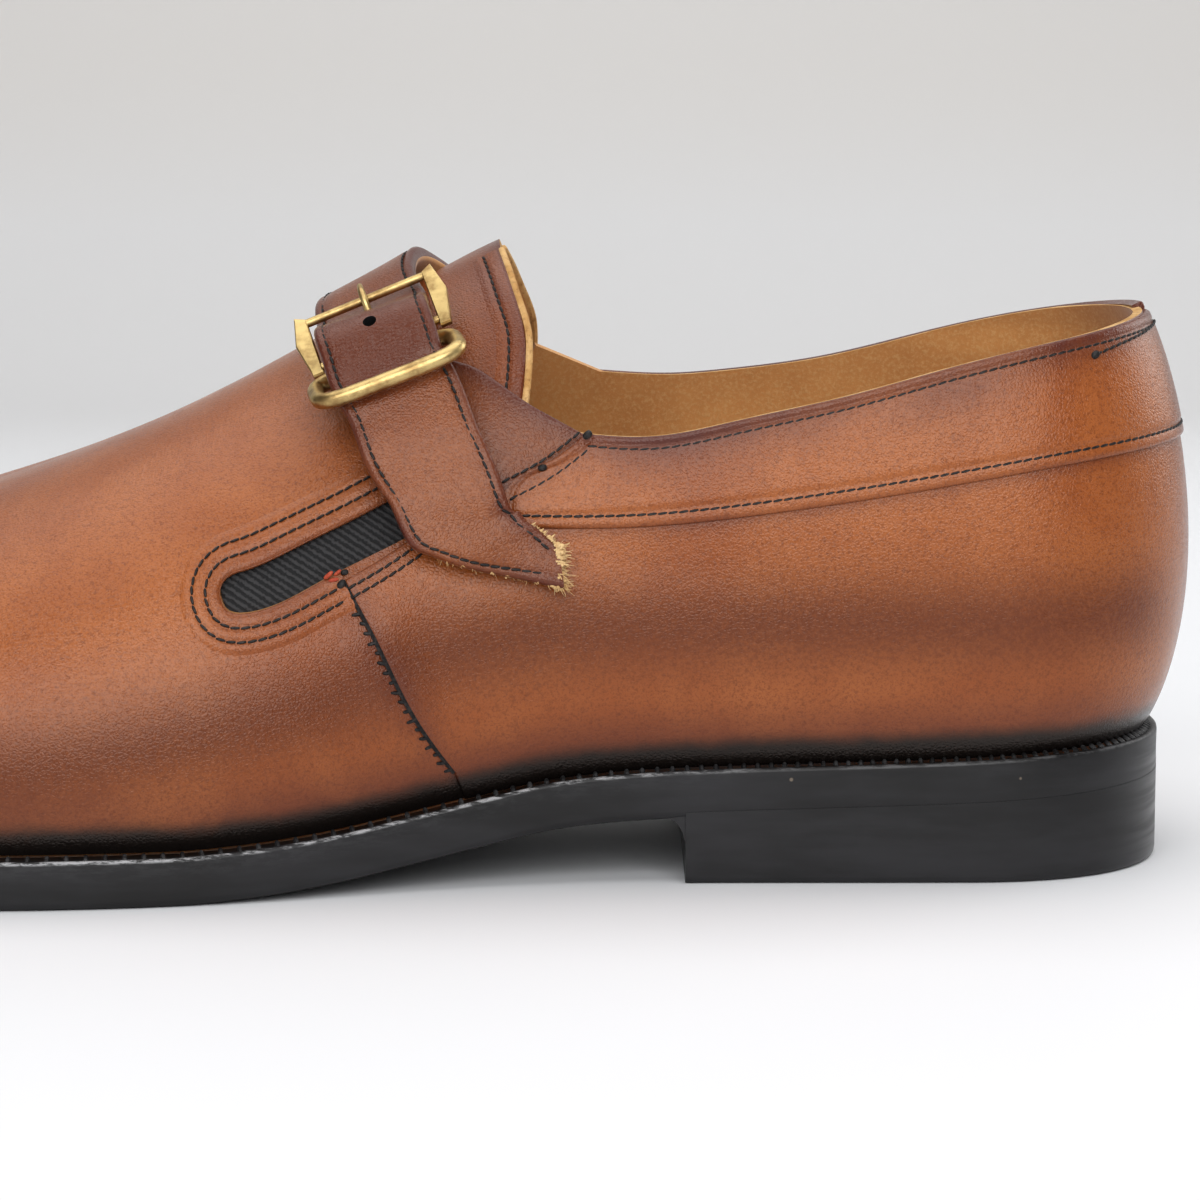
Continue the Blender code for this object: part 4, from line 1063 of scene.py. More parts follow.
def behind_seam(view):
    """1 where the quarters cover the shell: behind the seam and below the gusset slot."""
    seam_u = np.interp(view[..., 1], SEAM[:, 1], SEAM[:, 0])
    order = np.argsort(SLOT_MIDDLE[:, 0])
    slot_z = np.interp(view[..., 0], SLOT_MIDDLE[order, 0], SLOT_MIDDLE[order, 1])
    past = smooth_step(0.5 * MM, 2.2 * MM, seam_u - view[..., 0])
    return past * smooth_step(-0.3 * MM, 0.6 * MM, slot_z - view[..., 1])


# Patches of purple-brown burnish along the topline and the tab
PATCHES = (
    # side (0 both), from_heel_mm, height_mm, along_mm, across_mm, slant_deg, amount
    (0, 84, 71, 13, 3.2, 2, 0.85),
    (0, 62, 73, 12, 4.0, 8, 0.55),
    (0, 38, 79, 15, 5.0, 16, 0.75),
    (0, 24, 83, 10, 3.5, 18, 0.60),
    (0, 100, 69.5, 7, 3.0, -25, 0.55),
    (0, 110, 94, 4, 9, 60, 0.55),
    (0, 128, 84, 9, 5, -30, 0.35),
)

# The middle of a band of painted shade along both sides, mostly the dark reflection low on the glossy
# leather and partly its darker finish: from_heel_mm, height_mm
DEEP_LINE = ((260, 17), (215, 18), (188, 20), (160, 25), (136, 31), (118, 38), (98, 41), (60, 42),
             (27, 42), (8, 43))
DEEP_SHADE, DEEP_REACH = 0.92, 0.008

# Darker clouds, listed one by one
SHADE = (
    # side (0 both), from_heel_mm, height_mm, along_mm, across_mm, slant_deg, amount
    (0, 133, 70, 14, 12, -40, 0.30),
    (0, 116, 76, 12, 9, -40, 0.75),
    (0, 108, 68, 7, 4, -35, 0.60),
    (0, 112, 88, 7, 12, 70, 0.55),
    (0, 240, 42, 40, 30, 0, 0.25),
    (0, 285, 30, 16, 30, 0, 0.45),
)


def tone_values(item, burnish_lines=(), base_burnish=0.0):
    """Burnish and painted shade near chosen lines, black dye above the welt, painted shade in the dark band
    along the sides, and listed darker clouds.
    """
    points = mesh_points(item)
    view = side_view(points)
    side = np.where(points[:, 1] - MIDDLE_Y < 0, LATERAL, MEDIAL)
    burnish = np.full(len(points), base_burnish)
    for line, reach, strength in burnish_lines:
        burnish = np.maximum(burnish, strength * np.exp(-(distance_to(view, line) / reach) ** 1.5))
    rise = view[:, 1] - (underside(view[:, 0]) + FEATHER_RISE)
    low = smooth_step(6.8 * MM, 1.6 * MM, rise)
    burnish = np.maximum(burnish, 0.55 * smooth_step(13 * MM, 4 * MM, rise))
    for row in PATCHES:
        burnish = np.maximum(burnish, cloud_at(view, side, row))
    # Painted shade: the dark reflection band low on both sides, partly the leather's darker finish
    shade = DEEP_SHADE * np.exp(-(distance_to(view, np.array(DEEP_LINE) * MM) / DEEP_REACH) ** 2)
    for row in SHADE:
        shade = np.maximum(shade, cloud_at(view, side, row))
    paint(item, burnish=np.clip(burnish, 0, 1), dye=low, shade=np.clip(shade, 0, 1))


def cloud_at(view, side, row):
    """Strength of one listed cloud at points of the side view."""
    near = (side == row[0]) | (row[0] == 0)
    return np.where(near, row[-1] * soft_patch(view, row), 0)


def build_shell():
    """Vamp, tab and lining: one shell on the last, sunk where the quarters lie over it."""
    columns = np.linspace(0, 1, SHELL_COLUMNS + 1)
    vertices, faces = [], []
    for side in (LATERAL, MEDIAL):
        turns = np.linspace(0, 1, SHELL_ROWS + 1)
        column, turn = np.meshgrid(columns, turns)
        point = last_point(column, turn, side)
        hidden = behind_seam(point[..., [0, 2]])
        rise = relief(point, side) * (1 - smooth_step(0.93, 1.0, turn)) - SHELL_SINK * hidden
        grid = to_world(point + last_normal(column, turn, side) * rise[..., None])
        rows, count = grid.shape[:2]
        start = len(vertices) * rows * count
        vertices.append(grid.reshape(-1, 3))
        for i in range(rows - 1):
            for j in range(count - 1):
                a, b = start + i * count + j, start + (i + 1) * count + j
                faces.append((a, b, b + 1, a + 1))
    shell = add_piece("vamp_and_lining", np.concatenate(vertices), faces, [LEATHER, LINING, RAW_EDGE],
                      "leather_tan", ("upper",), shell=True)
    wall = shell.modifiers.new("wall", "SOLIDIFY")
    wall.thickness = SHELL_WALL
    wall.offset = -1
    wall.use_even_offset = True
    wall.material_offset = 1
    wall.material_offset_rim = 1
    cutters = [collar_cutter()] + [slot_cutter(side) for side in (LATERAL, MEDIAL)]
    for cutter in cutters:
        boolean(shell, cutter)
    settle(shell, cutters, 40)
    lines = [(TOPLINES[LATERAL], 5 * MM, 0.75), (SLOT_LOOP, 1.6 * MM, 0.45), (SEAM, 2.5 * MM, 0.45)]
    tone_values(shell, lines)
    return shell


def collar_cutter():
    """All that lies above the topline and behind the tab."""
    sections = []
    for share in COLLAR_BLEND:
        blend = np.clip((share + 0.22) / 0.44, 0, 1)
        along = COLLAR_LINE[:, 0] * (1 - blend) + COLLAR_LINE[:, 2] * blend
        height = COLLAR_LINE[:, 1] * (1 - blend) + COLLAR_LINE[:, 3] * blend
        ring = [(u, share * BALL_WIDTH, z) for u, z in zip(along, height)]
        ring.append((along[0], share * BALL_WIDTH, height[-1]))
        sections.append(ring)
    return plain_cutter("collar_cutter", *loft(to_world(np.array(sections))), RAW_EDGE)


def slot_cutter(side):
    """A block through one gusset slot."""
    sections = []
    for share in (0.06, 0.70):
        sections.append([(u, side * share * BALL_WIDTH, z) for u, z in SLOT_LOOP])
    return plain_cutter("slot_cutter", *loft(to_world(np.array(sections))), SLOT_EDGE)


def rim_places(length):
    """Places along an edge, close together near its ends."""
    near = RIM_STEPS[RIM_STEPS < length * 0.45]
    count = max(int((length - 2 * near[-1]) / PANEL_STEP), 2)
    middle = np.linspace(near[-1], length - near[-1], count + 1)
    return np.concatenate([near[:-1], middle, length - near[::-1][1:]]) / length


def rim_drop(distance, radius=RIM):
    """How far a rounded edge falls below the flat at a distance from it."""
    inside = np.clip(radius - distance, 0, radius)
    return radius * 0.75 * (1 - np.sqrt(np.maximum(1 - (inside / radius) ** 2, 0)))


def groove(distance, inset=STITCH_INSET):
    """The dip that a row of stitches pulls into the leather."""
    return GROOVE_DEPTH * np.exp(-((distance - inset) / GROOVE_WIDTH) ** 2)


def on_side(line, side, samples=80):
    """Columns and turns along a side-view line in metres."""
    return np.stack(placed(even_line(line, samples), side), -1)


def take(curve, shares):
    """Columns and turns at shares of a curve's samples."""
    places = np.linspace(0, 1, len(curve))
    return np.stack([np.interp(shares, places, curve[:, k]) for k in range(2)], -1)


def panel(name, side, bottom, top, left, right, lift, rims, stitched, lines):
    """A leather panel between four curves of columns and turns, with rounded, stitched edges.

    rims and stitched name the edges that are rounded and sewn: b, t, l and r.
    """
    def length(curve):
        world = to_world(last_point(curve[:, 0], curve[:, 1], side))
        return np.linalg.norm(np.diff(world, axis=0), axis=1).sum()

    wide, tall = max(length(bottom), length(top)), max(length(left), length(right))
    s, t = rim_places(wide), rim_places(tall)
    b, c, l, r = take(bottom, s), take(top, s), take(left, t), take(right, t)
    s_grid, t_grid = s[None, :, None], t[:, None, None]
    place = (1 - t_grid) * b[None] + t_grid * c[None] + (1 - s_grid) * l[:, None] + s_grid * r[:, None]
    place = place - (1 - s_grid) * (1 - t_grid) * b[0] - s_grid * (1 - t_grid) * b[-1]
    place = place - (1 - s_grid) * t_grid * c[0] - s_grid * t_grid * c[-1]
    column, turn = np.clip(place[..., 0], 0, 1), np.clip(place[..., 1], 0, 1)
    gaps = {
        "b": np.broadcast_to(t[:, None] * tall, column.shape),
        "t": np.broadcast_to((1 - t[:, None]) * tall, column.shape),
        "l": np.broadcast_to(s[None, :] * wide, column.shape),
        "r": np.broadcast_to((1 - s[None, :]) * wide, column.shape),
    }
    rise = np.full(column.shape, lift)
    for edge in rims:
        rise = rise - rim_drop(gaps[edge])
    for edge in stitched:
        rise = rise - groove(gaps[edge])
    upper, _ = laid(column, turn, side, rise)
    lower, _ = laid(column, turn, side, np.full(column.shape, PANEL_UNDER))
    item = add_piece(name, *sheet_solid(upper, lower), [LEATHER], "leather_tan")
    tone_values(item, lines)


def column_at(u):
    """The column at a distance from the heel's end."""
    return math.acos(2 * u / SOLE_LENGTH - 1) / math.pi


def line_at_columns(height_line, columns, side):
    """Columns and turns where columns meet a line drawn on the side view."""
    return np.stack([columns, turn_at_height(columns, side, height_line)], -1)


def heights_of(line):
    """A height function of station from a side-view line in metres."""
    order = np.argsort(line[:, 0])
    stations, heights = line[order, 0] / SOLE_LENGTH, line[order, 1] / INSTEP_HEIGHT
    return lambda station: np.interp(station, stations, heights)


def build_quarter(side):
    """The quarter, from the seam back to the heel and up under the collar band."""
    seam_column, _ = placed(SEAM[0], side)
    bottom_columns = np.linspace(float(seam_column), 1, 120)
    bottom = np.stack([bottom_columns, np.zeros(120)], -1)
    seam = on_side(chord_spline(SEAM[1:], 40), side, 60)
    left = np.concatenate([np.stack([np.linspace(bottom[0, 0], seam[0, 0], 12)[:-1],
                                     np.linspace(0, seam[0, 1], 12)[:-1]], -1), seam])
    front_top = on_side(chord_spline(np.array(QUARTER_TOP) * MM, 40), side, 40)
    columns = np.linspace(front_top[-1, 0], 1, 90)[1:]
    above = line_at_columns(lambda s: band_height(s) + 0.032, columns, side)
    top = np.concatenate([front_top, above])
    right = np.stack([np.ones(60), np.linspace(0, top[-1, 1], 60)], -1)
    # The darker strip along BAND_EDGE on the quarter is painted shade under the band's folded edge
    lines = [(SEAM, 2.5 * MM, 0.5), (np.array(QUARTER_TOP)[:4] * MM, 1.8 * MM, 0.45),
             (BAND_EDGE, 1.2 * MM, 0.5), (BACK_LINE, 1.6 * MM, 0.5)]
    curves = [even_curve(curve, side) for curve in (bottom, top, left)]
    panel(f"quarter_{SIDE_NAMES[side]}", side, *curves, right, QUARTER_LIFT, "tlr", "", lines)


def even_curve(curve, side, samples=160):
    """The same curve of columns and turns with even spacing in space."""
    world = to_world(last_point(curve[:, 0], curve[:, 1], side))
    chords = chords_of(world)
    places = np.linspace(0, chords[-1], samples)
    return np.stack([np.interp(places, chords, curve[:, k]) for k in range(2)], -1)


def back_line():
    """The heel's back on the side view."""
    turns = np.linspace(0, 1, 60)
    point = last_point(np.ones(60), turns, LATERAL)
    return point[:, [0, 2]]


BACK_LINE = back_line()


def build_band(side):
    """The collar band, folded at its lower edge and sewn along both edges."""
    topline = heights_of(TOPLINES[side][:NOTCH])
    front = np.array(BAND_FRONT) * MM
    if side == MEDIAL:
        front = front + np.column_stack([np.zeros(5), MEDIAL_BAND_RISE]) * MM
    left = on_side(chord_spline(front, 40), side, 40)
    bottom_columns = np.linspace(left[0, 0], 1, 120)
    bottom = line_at_columns(band_height, bottom_columns, side)
    bottom[0] = left[0]
    top_columns = np.linspace(left[-1, 0], 1, 120)
    top = line_at_columns(topline, top_columns, side)
    top[0] = left[-1]
    right = np.stack([np.ones(60), np.linspace(bottom[-1, 1], top[-1, 1], 60)], -1)
    lines = [(TOPLINES[side], 4.2 * MM, 0.92), (BAND_EDGE, 1.0 * MM, 0.40),
             (np.array(BAND_FRONT) * MM, 2.5 * MM, 0.55), (BACK_LINE, 1.6 * MM, 0.6)]
    curves = [even_curve(curve, side) for curve in (bottom, top, left)]
    panel(f"collar_band_{SIDE_NAMES[side]}", side, *curves, right, BAND_LIFT, "btlr", "btl", lines)


def facing(name, side, line, lifts, lines, flip=False):
    """A strip along a side-view line, spreading off it by steps with the given lifts."""
    across = square_to(line) * (-1 if flip else 1)
    plan = line[None] + across[None] * FACING_STEPS[:, None, None]
    column, turn = placed(plan, side)
    rise = np.broadcast_to(np.asarray(lifts)[:, None], column.shape)
    upper, _ = laid(column, turn, side, rise)
    lower, _ = laid(column, turn, side, np.full(column.shape, FACING_UNDER))
    item = add_piece(name, *sheet_solid(upper, lower), [LEATHER], "leather_tan")
    tone_values(item, lines)


FACING_STEPS = np.array((0, 0.1, 0.25, 0.5, 0.8, 1.1, 1.5, 1.8, 2.1, 2.4, 2.7, 3.1, 3.5, 3.9, 4.2,
                         4.5, 4.8, 5.2, 5.8, 6.6, 7.6, 8.8)) * MM
FACING_UNDER = -0.0006
FACING_RIM = 0.0009
SLOT_PUFF, TAB_PUFF = 0.00040, 0.00016
INNER_ROW, OUTER_ROW, TAB_ROW = 2.3 * MM, 4.4 * MM, 2.7 * MM


def facing_lifts(rows, puff):
    """Puffed leather between the edge and the rows of stitches, dying away beyond them."""
    fade = 1 - smooth_step(rows[-1] + 0.3 * MM, FACING_STEPS[-1] - 1 * MM, FACING_STEPS)
    lift = puff * fade - SLOT_PUFF * (1 - fade) - rim_drop(FACING_STEPS, FACING_RIM)
    for row in rows:
        lift = lift - groove(FACING_STEPS, row)
    return lift


def front_loop(low_limit, high_limit):
    """The part of the slot's loop ahead of the strap above and the seam below."""
    keep = [k for k, (u, z) in enumerate(SLOT_LOOP)
            if (k < SLOT_SAMPLES and z < high_limit) or (k >= SLOT_SAMPLES and u > low_limit)]
    return even_line(SLOT_LOOP[keep], 150)


def build_slot_facing(side):
    """The puffed leather round the front of one slot."""
    lifts = facing_lifts((INNER_ROW, OUTER_ROW), SLOT_PUFF)
    facing(f"slot_facing_{SIDE_NAMES[side]}", side, front_loop(132.6 * MM, 74 * MM), lifts,
           [(SLOT_LOOP, 2.2 * MM, 0.42)], True)


def build_gore(side):
    """Ribbed elastic behind one slot, lined inside."""
    upper, lower = slot_lines(GORE_OVERLAP, 150)
    end = GORE_ENDS[side]
    upper, lower = upper[2:end], lower[2:end]
    blend = np.linspace(0, 1, 12)[None, :, None]
    plan = upper[:, None] * (1 - blend) + lower[:, None] * blend
    column, turn = placed(plan, side)
    travel = chords_of(plan[:, 6])
    rib = RIB_DEPTH * np.abs(np.sin(travel * math.pi / RIB_PITCH))
    outer, _ = laid(column, turn, side, -GORE_DEPTH + rib[:, None] * np.ones(12))
    inner, _ = laid(column, turn, side, np.full(column.shape, -GORE_DEPTH - GORE_THICK))
    vertices, faces = sheet_solid(outer, inner)
    indices = [1 if max(face) >= outer[..., 0].size else 0 for face in faces]
    name = SIDE_NAMES[side]
    add_piece(f"elastic_{name}", vertices, faces, [ELASTIC, LINING], "elastic_black",
              (f"gore_{name}",), indices)


def place_by_turn(station, turn, side):
    """The column whose point at this turn has this station."""
    station, turn, side = np.broadcast_arrays(
        np.asarray(station, float), np.asarray(turn, float), np.asarray(side, float))
    low, high = np.zeros(station.shape), np.ones(station.shape)
    for _ in range(30):
        column = (low + high) / 2
        ahead = last_point(column, turn, side)[..., 0] > station * SOLE_LENGTH
        low = np.where(ahead, column, low)
        high = np.where(ahead, high, column)
    return (low + high) / 2


def lifted(station, turn, side, lift):
    """A world point at a lift off the last, and the last's normal there."""
    column = place_by_turn(station, turn, side)
    normal = last_normal(column, turn, side)
    point = last_point(column, turn, side) + normal * np.asarray(lift)[..., None]
    return to_world(point), turned(normal)


def strap_rows(table):
    """World points, normals and reaches of a strap's table."""
    rows = np.array([row[:2] + row[3:] for row in table], float)
    sides = np.array([row[2] for row in table], float)
    points, normals = lifted(rows[:, 0], rows[:, 1], sides, rows[:, 2])
    return np.column_stack([points, normals, rows[:, 3:6]])


class StrapPath:
    """A smooth path through rows of points, normals and reaches."""

    def __init__(self, rows):
        self.knots = chords_of(rows[:, :3])
        table = [(knot, *row) for knot, row in zip(self.knots, rows)]
        self.smooth = [natural_spline(table, k + 1) for k in range(6)]
        self.steady = [steady_spline(table, k + 1) for k in range(6, 9)]

    def frames(self, places):
        """Centre, along, across, normal and reaches at places along the path."""
        places = np.asarray(places, float)
        centre = np.stack([line(places) for line in self.smooth[:3]], -1)
        normal = np.stack([line(places) for line in self.smooth[3:]], -1)
        step = self.knots[-1] * 1e-3
        low, high = np.maximum(places - step, 0), np.minimum(places + step, self.knots[-1])
        along = np.stack([line(high) - line(low) for line in self.smooth[:3]], -1)
        along = along / np.linalg.norm(along, axis=-1, keepdims=True)
        across = np.cross(along, normal)
        across = across / np.linalg.norm(across, axis=-1, keepdims=True)
        reach = np.stack([line(places) for line in self.steady], -1)
        return centre, along, across, np.cross(across, along), reach


def buckle_axes(strap_path):
    """The two bars' centres and the buckle's directions: up the strap, across and out."""
    knots = strap_path.knots[[AT_CHAPE_BAR, AT_OUTER_BAR]] + (0, OUTER_BAR_SHIFT)
    centre, _, across, normal, _ = strap_path.frames(knots)
    under = BUCKLE_EASE + CHAPE_THICK + GAP + CHAPE_BAR / 2
    chape_bar = centre[0] - normal[0] * under
    outer_bar = centre[1] + normal[1] * (STRAP_THICK + BUCKLE_EASE + OUTER_BAR / 2)
    sideways = across[0] + across[1]
    sideways = sideways / np.linalg.norm(sideways)
    upward = outer_bar - chape_bar
    outer_bar = outer_bar - sideways * (upward @ sideways)
    upward = outer_bar - chape_bar
    spacing = np.linalg.norm(upward)
    upward = upward / spacing
    out = np.cross(sideways, -upward)
    return chape_bar, outer_bar, upward, sideways, out, spacing


def curl_axes(strap_path):
    """Directions at the chape bar: along the chape, and square to it off the last."""
    chape_bar, _, _, sideways, _, _ = buckle_axes(strap_path)
    _, along, _, _, _ = strap_path.frames(strap_path.knots[[AT_CHAPE_BAR]])
    onward = -along[0] + sideways * (along[0] @ sideways)
    onward = onward / np.linalg.norm(onward)
    return chape_bar, onward, np.cross(sideways, -onward)


def round_points(centre, first, second, radius, degrees):
    """Points on a circle, by angles from its first axis toward its second."""
    angles = np.radians(degrees)
    return centre + radius * (np.cos(angles)[:, None] * first + np.sin(angles)[:, None] * second)


def prong_points(strap_path):
    """The prong's centre line: a loop round the chape bar, then over the outer bar."""
    bar, outer_bar = buckle_axes(strap_path)[:2]
    _, onward, outward_axis = curl_axes(strap_path)
    radius = (CHAPE_BAR + PRONG_WIRE) / 2 + GAP
    loop = round_points(bar, onward, outward_axis, radius, PRONG_LOOP)
    span = outer_bar - bar
    length, rise = span @ onward, span @ outward_axis
    over = rise + (OUTER_BAR + PRONG_WIRE) / 2 + GAP
    shank = [bar + onward * a * length + outward_axis * (radius + (over - radius) * b)
             for a, b in PRONG_SHANK]
    tip = shank[-1] + onward * PRONG_TIP
    return np.concatenate([loop, shank, [tip]])


STRAP_EDGE = 0.0009
STRAP_ROW_INSET = 0.0016
STRAP_STEPS = (0.0, 0.00005, 0.00018, 0.0004, 0.0007, 0.0010, 0.0013, 0.0016, 0.0019, 0.0023,
               0.0030, 0.0045)
UNDER_STEPS = (0.0, 0.0002, 0.0006, 0.003)


class Ribbon:
    """A strap of leather on a path: rounded edges, grooves for its stitches, a lined underside."""

    def __init__(self, path, width, thickness, edge, rows=True):
        self.path, self.half, self.thickness = path, width / 2, thickness
        self.edge, self.rows = edge, rows

    def point(self, places, share, height):
        """Points at places along the path; share runs from -1, right, to 1, left."""
        centre, along, across, normal, reach = self.path.frames(places)
        share = np.asarray(share, float)
        wide = np.where(share > 0, reach[:, 0], reach[:, 1]) * self.half * share
        skew = reach[:, 2] * self.half * share
        point = centre + across * wide[:, None] + along * skew[:, None]
        return point + normal * np.asarray(height)[:, None], along, normal

    def span(self, places, side):
        """Real half width at places, toward the left (1) or right (-1)."""
        reach = self.path.frames(places)[4]
        return self.half * np.hypot(reach[:, 0 if side > 0 else 1], reach[:, 2])

    def top(self, gap):
        """Height of the upper face at a distance from the edge."""
        inside = np.clip(self.edge - gap, 0, self.edge)
        drop = self.edge * (1 - np.sqrt(np.maximum(1 - (inside / self.edge) ** 2, 0)))
        height = self.thickness - drop
        if self.rows:
            height = height - 0.6 * groove(gap, STRAP_ROW_INSET)
        return height

    def build(self, name, samples, replaced, wave=None):
        """The ribbon's mesh: leather above, lining below and raw ends."""
        places = np.linspace(0, self.path.knots[-1], samples)
        spans = {side: self.span(places, side) for side in (1, -1)}
        top_steps = np.array(STRAP_STEPS)
        rings, gaps = [], []
        for side, steps in ((1, top_steps), (-1, top_steps[::-1])):
            for step in steps:
                gap = np.minimum(step, spans[side] * 0.9)
                share = side * (1 - gap / spans[side])
                height = self.top(gap)
                if wave is not None:
                    height = height + wave(places, share)
                rings.append(self.point(places, share, height)[0])
                gaps.append(gap)
        under = self.edge * 0.7
        for side, steps in ((-1, UNDER_STEPS), (1, UNDER_STEPS[::-1])):
            for step in steps:
                gap = np.minimum(step, spans[side] * 0.8)
                share = side * (1 - gap / spans[side])
                near = 1 - np.clip(gap / under, 0, 1)
                height = under * (1 - np.sqrt(np.maximum(1 - near ** 2, 0)))
                height = np.where(step == 0.0, under, height)
                rings.append(self.point(places, share, height)[0])
                gaps.append(gap)
        rings = np.stack(rings, 1)
        vertices, faces = loft(rings)
        ring = rings.shape[1]
        first_under = 2 * len(STRAP_STEPS)
        indices = [1 if first_under <= face[0] % ring < ring - 1 else 0 for face in faces]
        indices[-2:] = [2, 2]
        return add_piece(name, vertices, faces, [LEATHER, LINING, RAW_EDGE], "leather_tan",
                         replaced, indices, 50)

    def edge_line(self, side, inset, start, end, samples=400):
        """World line and normals at an inset from one edge."""
        places = np.linspace(start, end, samples)
        span = self.span(places, side)
        share = side * (1 - inset / span)
        point, _, normal = self.point(places, share, self.top(np.full(samples, inset)))
        return point, normal


# Rings of a grain of thread: place along it and size, in shares of its half length and radius
BLOB_RINGS = ((-1.0, 0.25), (-0.86, 0.72), (-0.45, 0.96), (0.0, 1.0), (0.45, 0.96), (0.86, 0.72),
              (1.0, 0.25))


def blob(centre, along, normal, half_length, radius, flat=1.0, sides=6):
    """A rounded grain of thread: rings of points along a direction."""
    along = along / np.linalg.norm(along)
    normal = normal - along * (normal @ along)
    normal = normal / np.linalg.norm(normal)
    across = np.cross(along, normal)
    angle = np.arange(sides) * 2 * math.pi / sides
    rings = []
    for share, size in BLOB_RINGS:
        ring = np.cos(angle)[:, None] * across + np.sin(angle)[:, None] * normal * flat
        rings.append(centre + along * share * half_length + ring * radius * size)
    return np.array(rings)


def read_line(place, chords, values):
    """Values along a line at one distance from its start."""
    return np.array([np.interp(place, chords, values[:, axis]) for axis in range(3)])


class Grains:
    """Collects many small grains into one mesh."""

    def __init__(self):
        self.vertices, self.faces, self.count = [], [], 0

    def add(self, rings):
        vertices, faces = loft(rings)
        self.vertices.append(vertices)
        self.faces += [tuple(k + self.count for k in face) for face in faces]
        self.count += len(vertices)

    def piece(self, name, material, slot):
        return add_piece(name, np.concatenate(self.vertices), self.faces, [material], slot, weld=1e-9)

    def stitches(self, line, normals):
        """A row of stitches along a line, sunk at their ends."""
        chords = chords_of(line)
        half = STITCH_LENGTH / 2
        for k in range(int(chords[-1] / STITCH_PITCH)):
            middle = (k + 0.5) * STITCH_PITCH
            ends = np.array([read_line(middle - half, chords, line), read_line(middle + half, chords, line)])
            normal = read_line(middle, chords, normals)
            along = ends[1] - ends[0]
            along = along + np.cross(normal, along) * STITCH_SLANT
            centre = ends.mean(axis=0) + normal * THREAD * 0.10
            self.add(blob(centre, along, normal, half, THREAD / 2))


def shifted(curve, side, inset):
    """A curve of columns and turns moved along its column by a distance, upward if positive."""
    step = 1e-3
    low = last_point(curve[:, 0], curve[:, 1], side)
    high = last_point(curve[:, 0], curve[:, 1] + step, side)
    rate = np.linalg.norm(high - low, axis=1) / step
    return np.stack([curve[:, 0], curve[:, 1] + inset / rate], -1)


def offset_line(line, distance):
    """A side-view line moved square to itself."""
    return line + square_to(line) * distance


# Lift of the stitches that cross from the band to the buckle tab
CHAPE_TOP = 0.0013
# Bar tacks and loose thread ends
KNOTS = (
    # from_heel_mm, height_mm, lift, half length
    (94.5, 70.9, 0.0012, 0.0008),
    (101.6, 65.9, 0.0012, 0.0007),
    (132.9, 48.6, 0.0003, 0.0008),
    (132.4, 50.4, 0.0002, 0.0006),
    (15.0, 83.2, 0.0011, 0.0008),
)
RED_KNOTS = (
    # from_heel_mm, height_mm, lift, half length
    (134.9, 49.9, 0.0005, 0.0009),
    (134.1, 49.2, 0.0005, 0.0008),
    (133.5, 50.3, 0.0004, 0.0007),
)


def sew_upper():
    """Every row of stitches, bar tack and cross-stitch on the upper."""
    grains = Grains()
    thread_lift = THREAD * 0.15
    slot_lifts = facing_lifts((INNER_ROW, OUTER_ROW), SLOT_PUFF)
    for side in (LATERAL, MEDIAL):
        loop = front_loop(133.5 * MM, 74 * MM)
        for row in (INNER_ROW, OUTER_ROW):
            lift = float(np.interp(row, FACING_STEPS, slot_lifts)) + thread_lift
            grains.stitches(*on_last(offset_line(loop, -row), side, lift))
        rear_top = even_line(chord_spline(np.array(QUARTER_TOP)[:4] * MM, 40), 60)
        for inset in (1.5 * MM, 3.0 * MM):
            grains.stitches(*on_last(offset_line(rear_top, -inset), side, QUARTER_LIFT + thread_lift))
        topline = heights_of(TOPLINES[side][:NOTCH])
        columns = np.linspace(column_at(93 * MM), 1, 260)
        curve = shifted(line_at_columns(topline, columns, side), side, -STITCH_INSET)
        grains.stitches(*laid(curve[:, 0], curve[:, 1], side, BAND_LIFT - GROOVE_DEPTH + thread_lift))
        columns = np.linspace(column_at(106 * MM), 1, 260)
        curve = shifted(line_at_columns(band_height, columns, side), side, STITCH_INSET * 0.9)
        grains.stitches(*laid(curve[:, 0], curve[:, 1], side, BAND_LIFT - GROOVE_DEPTH + thread_lift))
        front = chord_spline(np.array(BAND_FRONT)[2:] * MM, 40)
        front_rows = ((0.35 * MM, CHAPE_TOP), (-2.4 * MM, BAND_LIFT - GROOVE_DEPTH))
        if side == MEDIAL:
            front = front + np.stack([np.zeros(40), np.linspace(0.5, 5.4, 40) * MM], -1)
            front_rows = ((-1.2 * MM, BAND_LIFT - GROOVE_DEPTH),) + front_rows[1:]
        for inset, lift in front_rows:
            grains.stitches(*on_last(offset_line(front, inset), side, lift + thread_lift))
        tab = chord_spline(np.array(TAB_EDGE) * MM, 50)
        grains.stitches(*on_last(offset_line(tab, TAB_ROW), side, TAB_PUFF - GROOVE_DEPTH + thread_lift))
        cross_stitches(grains, side)
        tie_knots(grains, KNOTS, side, 0.75)
        band_back = chord_spline(np.array(BAND_BACK) * MM, 40)
        grains.stitches(*on_last(band_back, side, BAND_LIFT + thread_lift))
    grains.piece("stitches_upper", BLACK_THREAD, "elastic_black")
    red = Grains()
    for side in (LATERAL, MEDIAL):
        tie_knots(red, RED_KNOTS, side, 0.38)
    red.piece("thread_ends", RED_THREAD, "leather_tan")


def tie_knots(grains, table, side, fullness):
    """Short bar tacks and thread ends at listed points of the side view."""
    for k, (u, z, lift, size) in enumerate(table):
        point, normal = on_last(np.array([[u * MM, z * MM]]), side, lift)
        slope = turned(np.array([[-0.75, 0.0, 0.65 - 0.5 * (k % 2)]]))[0]
        grains.add(blob(point[0], slope, normal[0], size, size * fullness, 0.7, 8))


